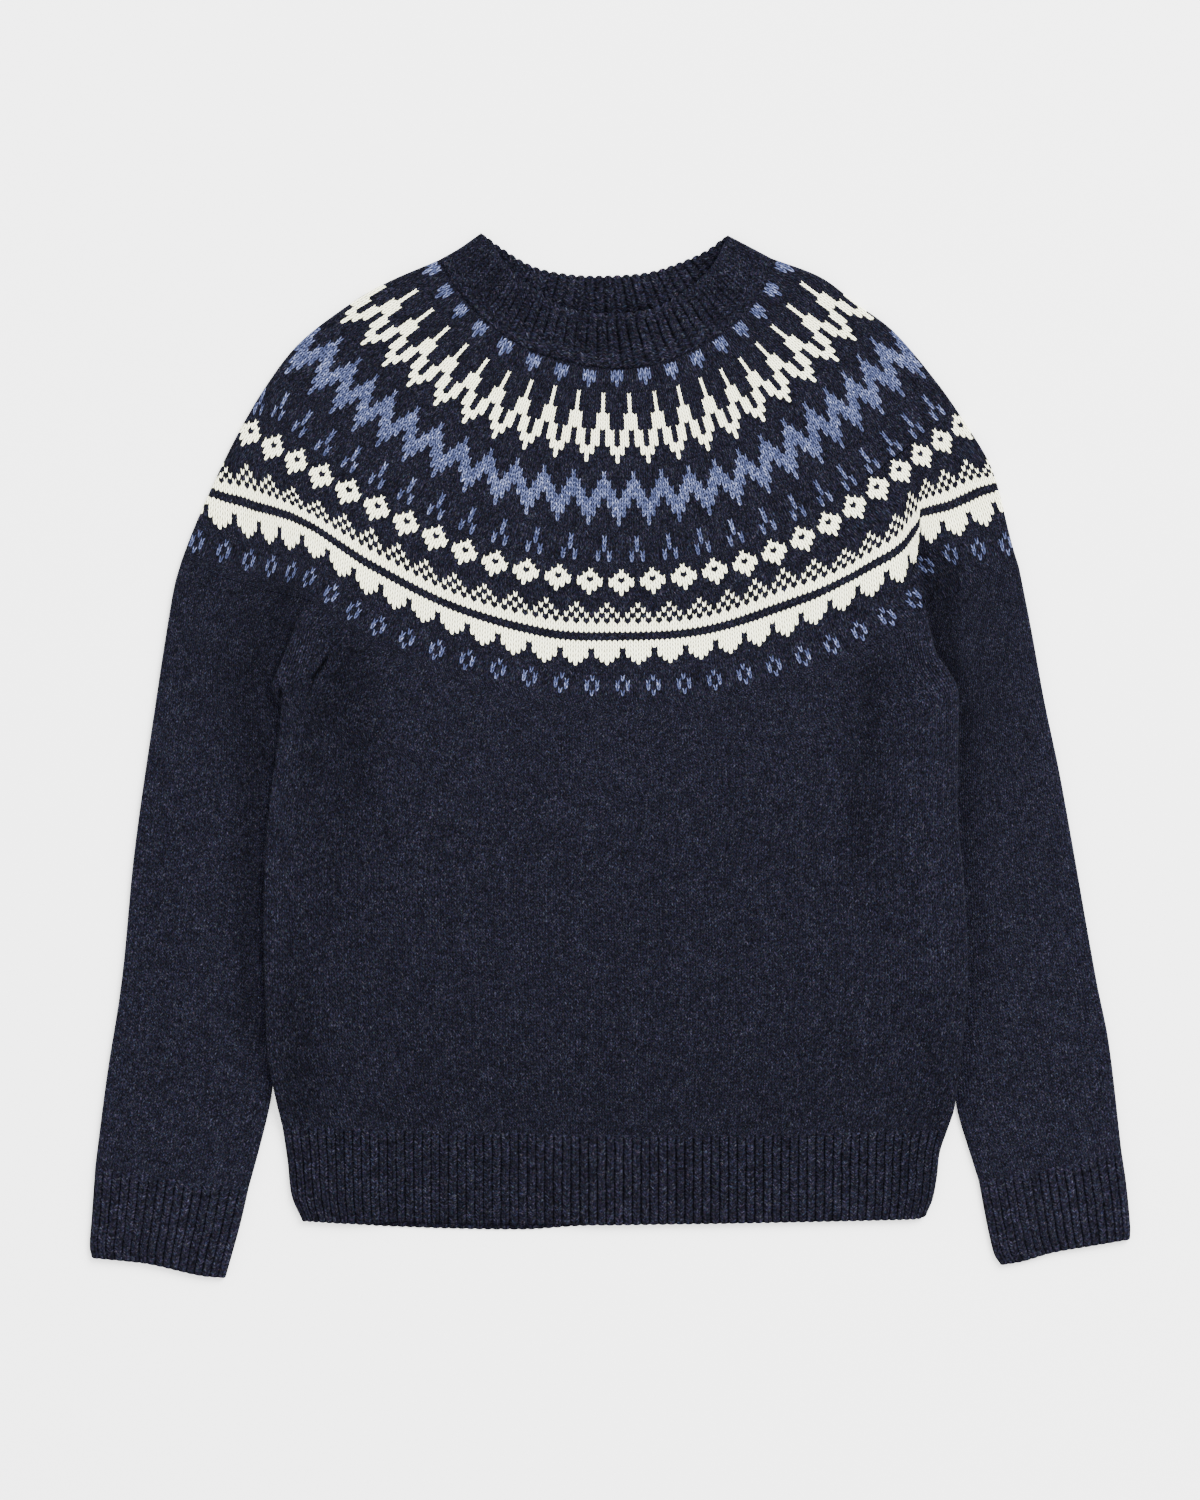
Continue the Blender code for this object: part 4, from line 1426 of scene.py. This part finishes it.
def closer_at_sides(side_count, middle_count, reach):
    """Shares across a panel, closer together within reach of both its sides."""
    side = [reach * i / side_count for i in range(side_count)]
    middle = [reach + (1 - 2 * reach) * i / middle_count for i in range(middle_count + 1)]
    return [(share, 0.0) for share in side + middle + [1 - share for share in reversed(side)]]


def rows_between(start, end, count):
    return [start + (end - start) * i / count for i in range(count + 1)]


def underarm_roll(x, y):
    """The front's and back's side folds form below the underarms, and are flat above them."""
    corner = RIGHT_BODY_SIDE[0] if x > 0 else LEFT_BODY_SIDE[0]
    return ease((corner[1] + 2.6 - y) / 11)


side_left = smooth_curve(LEFT_BODY_SIDE)
side_right = smooth_curve(RIGHT_BODY_SIDE)
hem_seam = smooth_curve(HEM_SEAM)
front_plan = patch(edge_front, hem_seam, side_left, side_right)
back_plan = patch(raised_back_edge, hem_seam, side_left, side_right)


def body_piece(name, plan, facing, relief):
    cloth = Cloth()
    panel = Panel(plan, plan, facing, relief, rolled=underarm_roll)
    rows = rows_between(0.0, 1.0, 84)
    columns = even(110)
    painted_shade = valley = nothing
    if facing > 0:
        # The front's lie closer together by the underarms and the sides
        rows = rows_between(0.0, 0.27, 80) + rows_between(0.27, 1.0, 98)[1:]
        columns = closer_at_sides(48, 150, 0.11)
        painted_shade = painted_shade_front
        valley = gathered
    grid = []
    for s in rows:
        row = []
        for t, x, y, z in panel.marks(s, columns):
            point = cloth.point(x, y, z, painted_shade(x, y), valley(x, y))
            row.append((point, t * BODY_STITCHES, -s * BODY_ROWS))
        grid.append(row)
    cloth.grid(grid, flip=facing < 0)
    return cloth.make(name, WOOL)


body_front = body_piece("body_front_knit", front_plan, 1, front_relief)
body_back = body_piece("body_back_knit", back_plan, -1, nothing)


def rib_height(share, count, strength=1.0):
    """A rib's height at this share across, with a rounded crest and a narrow valley."""
    away = abs(share * count % 1.0 - 0.5)
    return RIB_HEIGHT * strength * max(0.0, 1 - (away / CREST_REACH) ** 3)


RIB_STEPS = 8
RIM_TURNS = (30, 60, 90, 120, 150)  # where a free edge's rounding has rows, in degrees
INSIDE_ROWS = (0.0, 4.0, TURN_INSIDE)  # how far in the rows behind a free edge lie


def rib_shares(count, strength):
    """Shares across a ribbed panel with each one's height."""
    steps = count * RIB_STEPS
    return [(i / steps, rib_height(i / steps, count, strength)) for i in range(steps + 1)]


def rim_turns():
    """Round a free edge: how far it has turned in, how deep it lies, and how far it stands out."""
    for turn in RIM_TURNS:
        angle = math.radians(turn)
        yield turn / 180, WALL / 2 * (1 - math.cos(angle)), WALL / 2 * math.sin(angle)


def hem_piece(name, plan, facing):
    """A ribbed panel whose free edge is rounded and goes a little way inside."""
    cloth = Cloth()
    panel = Panel(plan, plan, facing, nothing)
    # Painted shade: the back hem, whose strip shows below the front one, is painted much darker as if in
    # shadow, and the front hem a little darker
    shade = 0.05 if facing > 0 else 0.4
    grid = []

    def add(s, skin, push, strength, v, look):
        bumps = rib_shares(HEM_RIBS, strength if facing > 0 else 0.0)
        row = []
        for t, x, y, z in panel.marks(s, bumps, skin):
            out = push * (1.0 + 0.6 * rib_height(t, HEM_RIBS) / RIB_HEIGHT)
            row.append((cloth.point(x, y - out, z, *look), t * HEM_RIBS, v))
        grid.append(row)

    for s in rows_between(0.0, 1.0, 24):
        down = s * HEM_LENGTH
        look = (shade, 1.3 * ease((down + 1) / 5))
        add(s, 0.0, 0.0, ease(down / 12), -down / RIB_ROW, look)
    end = -HEM_LENGTH / RIB_ROW
    for turned, skin, push in rim_turns():
        add(1.0, skin, push, 1 - turned, end - turned, (shade, 1.0))
    for inside in INSIDE_ROWS:
        add(1 - inside / HEM_LENGTH, WALL, 0.0, 0.0, end - 1 + inside / RIB_ROW, ())
    cloth.grid(grid, flip=facing < 0)
    return cloth.make(name, RIBBED_WOOL)


hem_left = smooth_curve(LEFT_HEM_SIDE)
hem_right = smooth_curve(RIGHT_HEM_SIDE)


def front_hem_edge(share):
    """The front hem's lower edge, which leaves the back hem showing over its left half."""
    x, y = smooth_curve(HEM_EDGE)(share)
    shows = ease((share - 0.06) / 0.12) * ease((0.50 - share) / 0.16)
    return (x, y + PEEK * shows)


EDGE_STEPS = 400  # how finely the hem's edge is looked up
SIDE_BEND = 15  # the power by which a hem's bend at its sides dies away


def hanging_straight(edge):
    """A hem's lower edge, shared out so that its ribs hang straight except beside the sides."""
    samples = [edge(i / EDGE_STEPS) for i in range(EDGE_STEPS + 1)]
    reaches = [x for x, y in samples]

    def at(t):
        x = hem_seam(t)[0]
        x += (reaches[0] - HEM_SEAM[0][0]) * (1 - t) ** SIDE_BEND
        x += (reaches[-1] - HEM_SEAM[-1][0]) * t**SIDE_BEND
        i = section(reaches, x)
        share = (x - reaches[i]) / (reaches[i + 1] - reaches[i])
        return mix_places(samples[i], samples[i + 1], clamp(share))

    return at


def hanging_patch(top, bottom, left, right):
    """The plan between four edges, where the side edges bend only what is close to them."""

    def at(t, s):
        place = []
        for k in (0, 1):
            middle = mix(top(t)[k], bottom(t)[k], s)
            to_left = left(s)[k] - mix(top(0)[k], bottom(0)[k], s)
            to_right = right(s)[k] - mix(top(1)[k], bottom(1)[k], s)
            place.append(middle + to_left * (1 - t) ** SIDE_BEND + to_right * t**SIDE_BEND)
        return tuple(place)

    return at


front_hem = hanging_patch(hem_seam, hanging_straight(front_hem_edge), hem_left, hem_right)
back_hem = hanging_patch(hem_seam, hanging_straight(smooth_curve(HEM_EDGE)), hem_left, hem_right)
hem_front = hem_piece("hem_front_rib", front_hem, 1)
hem_back = hem_piece("hem_back_rib", back_hem, -1)


TUCK = 0.2  # how far a sleeve's upper edge lies below the yoke's, and a third of its overlap


def knit_tube(cloth, grid, around, flip=False):
    """The faces of a tube's rows, each going over the top from left to right and back below.

    around is the knit coordinate at which a row comes back to its start.
    """
    for (over, under), (next_over, next_under) in zip(grid, grid[1:]):
        upper = over + under
        lower = next_over + next_under
        count = len(upper)
        for i in range(count):
            k = (i + 1) % count
            corners = [upper[i], lower[i], lower[k], upper[k]]
            if k == 0:
                turned = [(point, around, v) for point, u, v in (lower[k], upper[k])]
                corners = [upper[i], lower[i], *turned]
            if flip:
                corners.reverse()
            cloth.face(corners)


def sleeve_piece(name, plan, depths):
    cloth = Cloth()
    over = Panel(plan, plan, 1, sleeve_relief, 0, depths)
    under = Panel(plan, plan, -1, nothing, 0, depths)
    columns = even(36)
    grid = []
    for s in rows_between(0.0, 1.0, 100):
        v = -s * SLEEVE_ROWS
        row = []
        for t, x, y, z in over.marks(s, columns):
            if s == 0:
                # The upper edge goes a little way under the yoke's
                y += TUCK * 3 * (1 - abs(2 * t - 1) ** 6)
                z -= TUCK
            row.append((cloth.point(x, y, z, painted_shade_sleeve(x, y)), t * SLEEVE_STITCHES, v))
        below = []
        for t, x, y, z in under.marks(s, columns)[1:-1]:
            below.append((cloth.point(x, y, z), (2 - t) * SLEEVE_STITCHES, v))
        grid.append((row, below[::-1]))
    knit_tube(cloth, grid, 2 * SLEEVE_STITCHES)
    return cloth.make(name, WOOL)


def cuff_piece(name, plan, depths):
    cloth = Cloth()
    over = Panel(plan, plan, 1, nothing, 0, depths)
    under = Panel(plan, plan, -1, nothing, 0, depths)
    grid = []

    def add(s, skin, push, strength, v):
        seen = ease((s * HEM_LENGTH + 1) / 6)

        def corners(marks, u_of):
            row = []
            for t, x, y, z in marks:
                out = push * (1.0 + 0.35 * rib_height(t, CUFF_RIBS) / RIB_HEIGHT)
                row.append((cloth.point(x, y - out, z, CUFF_LIGHT, seen), u_of(t), v))
            return row

        top = over.marks(s, rib_shares(CUFF_RIBS, strength), skin)
        below = under.marks(s, rib_shares(CUFF_RIBS, 0.0), skin)[1:-1]
        row = corners(top, lambda t: t * CUFF_RIBS)
        grid.append((row, corners(below, lambda t: (2 - t) * CUFF_RIBS)[::-1]))

    for s in rows_between(0.0, 1.0, 24):
        down = s * HEM_LENGTH
        add(s, 0.0, 0.0, ease(down / 12), -down / RIB_ROW)
    end = -HEM_LENGTH / RIB_ROW
    for turned, skin, push in rim_turns():
        add(1.0, skin, push, 1 - turned, end - turned)
    for inside in INSIDE_ROWS:
        add(1 - inside / HEM_LENGTH, WALL, 0.0, 0.0, end - 1 + inside / RIB_ROW)
    knit_tube(cloth, grid, 2 * CUFF_RIBS)
    return cloth.make(name, RIBBED_WOOL)


sleeves = {}
cuffs = {}
for side, top, fold, inner, cuff_fold, cuff_inner, seam, edge in (
    (
        "left",
        smooth_curve([*YOKE_EDGE_LEFT, LEFT_SLEEVE_INNER[0]]),
        LEFT_SLEEVE_FOLD,
        LEFT_SLEEVE_INNER,
        LEFT_CUFF_FOLD,
        LEFT_CUFF_INNER,
        LEFT_CUFF_SEAM,
        LEFT_CUFF_EDGE,
    ),
    (
        "right",
        smooth_curve([RIGHT_SLEEVE_INNER[0], *YOKE_EDGE_RIGHT]),
        RIGHT_SLEEVE_FOLD,
        RIGHT_SLEEVE_INNER,
        RIGHT_CUFF_FOLD,
        RIGHT_CUFF_INNER,
        RIGHT_CUFF_SEAM,
        RIGHT_CUFF_EDGE,
    ),
):
    sides = [smooth_curve(fold), smooth_curve(inner)]
    cuff_sides = [smooth_curve(cuff_fold), smooth_curve(cuff_inner)]
    depths = (DEPTH, TUCKED_DEPTH)
    if side == "right":
        sides.reverse()
        cuff_sides.reverse()
        depths = (TUCKED_DEPTH, DEPTH)
    sleeve = patch(top, smooth_curve(seam), *sides)
    sleeves[side] = sleeve_piece("sleeve_" + side + "_knit", sleeve, depths)
    cuff = patch(smooth_curve(seam), smooth_curve(edge), *cuff_sides)
    cuffs[side] = cuff_piece("cuff_" + side + "_rib", cuff, depths)


def front_neck_ribs(t):
    """The rib coordinate across the front neckband, whose ribs lie closer by the shoulders."""
    side = 2 * t - 1
    closer = max(abs(side) - 0.4, 0.0) ** 2 * 11.1
    return FRONT_NECK_RIBS / 2 * side + math.copysign(closer, side) + FRONT_NECK_SEEN / 2


def back_neck_ribs(t):
    return FRONT_NECK_SEEN + BACK_NECK_RIBS * (1 - t)


def neckband_piece():
    """The ribbed ring: its front's outside, its rolled edge, and its back's inside."""
    cloth = Cloth()
    sides = (smooth_curve(LEFT_NECK_FOLD), smooth_curve(RIGHT_NECK_FOLD))
    front_neck = patch(smooth_curve(FRONT_NECK_EDGE), smooth_curve(FRONT_NECK_SEAM), *sides)
    back_neck = patch(smooth_curve(BACK_NECK_EDGE), smooth_curve(BACK_NECK_SEAM), *sides)
    over = Panel(front_neck, back_neck, 1, nothing)
    under = Panel(back_neck, front_neck, -1, nothing)
    steps = FRONT_NECK_SEEN * RIB_STEPS
    grid = []

    def add(s, skin, push, strength_out, strength_in, v):
        down = s * NECK_LENGTH
        pair = []
        for panel, ribs_of in ((over, front_neck_ribs), (under, back_neck_ribs)):
            shares = []
            for i in range(steps + 1):
                share = i / steps
                height = rib_height(ribs_of(share), 1)
                middle = 1 - abs(2 * share - 1)
                if panel is over:
                    height *= strength_out * (0.3 + 0.7 * ease(middle / 0.6))
                    height += NECK_RISE * ease(1 - s / 0.8) * ease(middle / 0.16)
                else:
                    height *= strength_in
                shares.append((share, height))
            marks = panel.marks(s, shares, skin)
            if panel is under:
                marks = marks[1:-1]
            row = []
            for t, x, y, z in marks:
                from_fold = min(t, 1 - t)
                crest = rib_height(ribs_of(t), 1) / RIB_HEIGHT
                out = push * (1.0 + 1.4 * crest * ease(from_fold / 0.05))
                # Painted shade: the front band a little darker, with painted light along its free edge;
                # the back band's inside darker by the folds and further down, as if in shadow
                dark = 0.0
                seen = 0.55
                if panel is over:
                    seen = ease((down - 1.5) / 5) * ease((NECK_LENGTH - 6 - down) / 10)
                    seen *= 0.45 + 0.55 * ease(from_fold / 0.3)
                    dark = 0.08 - 0.13 * ease(1 - down / 5)
                elif strength_in > 0.5:
                    dark = 0.01 + 0.33 * hump(from_fold, 0.15) + 0.22 * ease(s / 0.8)
                row.append((cloth.point(x, y + out, z, dark, seen), ribs_of(t), v))
            pair.append(row if panel is over else row[::-1])
        grid.append(tuple(pair))

    for s in rows_between(1.0, 0.0, 14):
        add(s, 0.0, 0.0, 1.0, 0.0, s * NECK_LENGTH / RIB_ROW)
    for turned, skin, push in rim_turns():
        add(0.0, skin, push, 1 - turned, turned, -turned)
    for s in rows_between(0.0, 1.0, 14):
        add(s, WALL, 0.0, 0.0, 1.0, -1 - s * NECK_LENGTH / RIB_ROW)
    # The inside's lower edge is joined to the seam's first row
    end = -NECK_LENGTH / RIB_ROW - 2
    grid.append(tuple([[(point, u, end) for point, u, v in marks] for marks in grid[0]]))
    knit_tube(cloth, grid, FRONT_NECK_SEEN + BACK_NECK_RIBS, flip=True)
    return cloth.make("neckband_rib", RIBBED_WOOL)


neckband = neckband_piece()

dress(yoke_front, "fair_isle_wool", (500, 260), [yoke_back], "yoke")
dress(yoke_back, "fair_isle_wool", (500, 255), [], "yoke")
dress(body_front, "navy_wool", (485, 335), [body_back, sleeves["left"], sleeves["right"]], "body_front")
dress(body_back, "navy_wool", (485, 312), [sleeves["left"], sleeves["right"]], "body_back")
dress(hem_front, "navy_rib", (455, 66), [hem_back], "hem_front")
dress(hem_back, "navy_rib", (455, 66), [], "hem_back")
dress(sleeves["left"], "navy_wool", (192, 415), [], "sleeve_left")
dress(sleeves["right"], "navy_wool", (190, 410), [], "sleeve_right")
dress(cuffs["left"], "navy_rib", (210, 62), [], "cuff_left")
dress(cuffs["right"], "navy_rib", (198, 62), [], "cuff_right")
dress(neckband, "navy_rib", (500, 36), [], "neckband")

# Floor
FLOOR_HALF = 6.0
FLOOR_LEVEL = -0.0002
FLOOR_CORNERS = ((-1, -1), (1, -1), (1, 1), (-1, 1))
FLOOR_SURFACE = {
    "Base Color": (0.778, 0.778, 0.778, 1),
    "Roughness": 0.9,
    "Specular IOR Level": 0.1,
    "Emission Color": (1, 1, 1, 1),
    "Emission Strength": 0.42,
}
floor_mesh = bpy.data.meshes.new("floor")
floor_points = [(x * FLOOR_HALF, y * FLOOR_HALF, FLOOR_LEVEL) for x, y in FLOOR_CORNERS]
floor_mesh.from_pydata(floor_points, [], [(0, 1, 2, 3)])
floor = put_in_scene("floor", floor_mesh)
floor_look = Graph("pale_floor")
floor_look.surface(FLOOR_SURFACE)
floor_mesh.materials.append(floor_look.material)

# Light: a pale sky all round, and one large soft lamp from the upper right
SKY_STRENGTH = 3.47
LAMP_SIZE = 4.4
LAMP_POWER = 1960
LAMP_PLACE = (3.6, 4.0, 5.2)
world = bpy.data.worlds.new("studio")
world.use_nodes = True
sky = world.node_tree.nodes["Background"]
sky.inputs["Color"].default_value = (1, 1, 1, 1)
sky.inputs["Strength"].default_value = SKY_STRENGTH
bpy.context.scene.world = world
lamp_data = bpy.data.lights.new("window", "AREA")
lamp_data.shape = "SQUARE"
lamp_data.size = LAMP_SIZE
lamp_data.energy = LAMP_POWER
lamp = put_in_scene("window", lamp_data)
lamp.location = LAMP_PLACE
lamp.rotation_euler = (-lamp.location).to_track_quat("-Z", "Y").to_euler()

# Camera: straight above, with a long lens. The frame is 840 mm wide at the floor.
VIEW_WIDTH = 0.840
VIEW_MIDDLE = (-0.00735, 0.0042)
CAMERA_HEIGHT = 4.0
SENSOR = 36.0
camera_data = bpy.data.cameras.new("camera")
camera_data.sensor_fit = "HORIZONTAL"
camera_data.sensor_width = SENSOR
camera_data.lens = SENSOR * CAMERA_HEIGHT / VIEW_WIDTH
camera = put_in_scene("camera", camera_data)
camera.location = (*VIEW_MIDDLE, CAMERA_HEIGHT)
bpy.context.scene.camera = camera
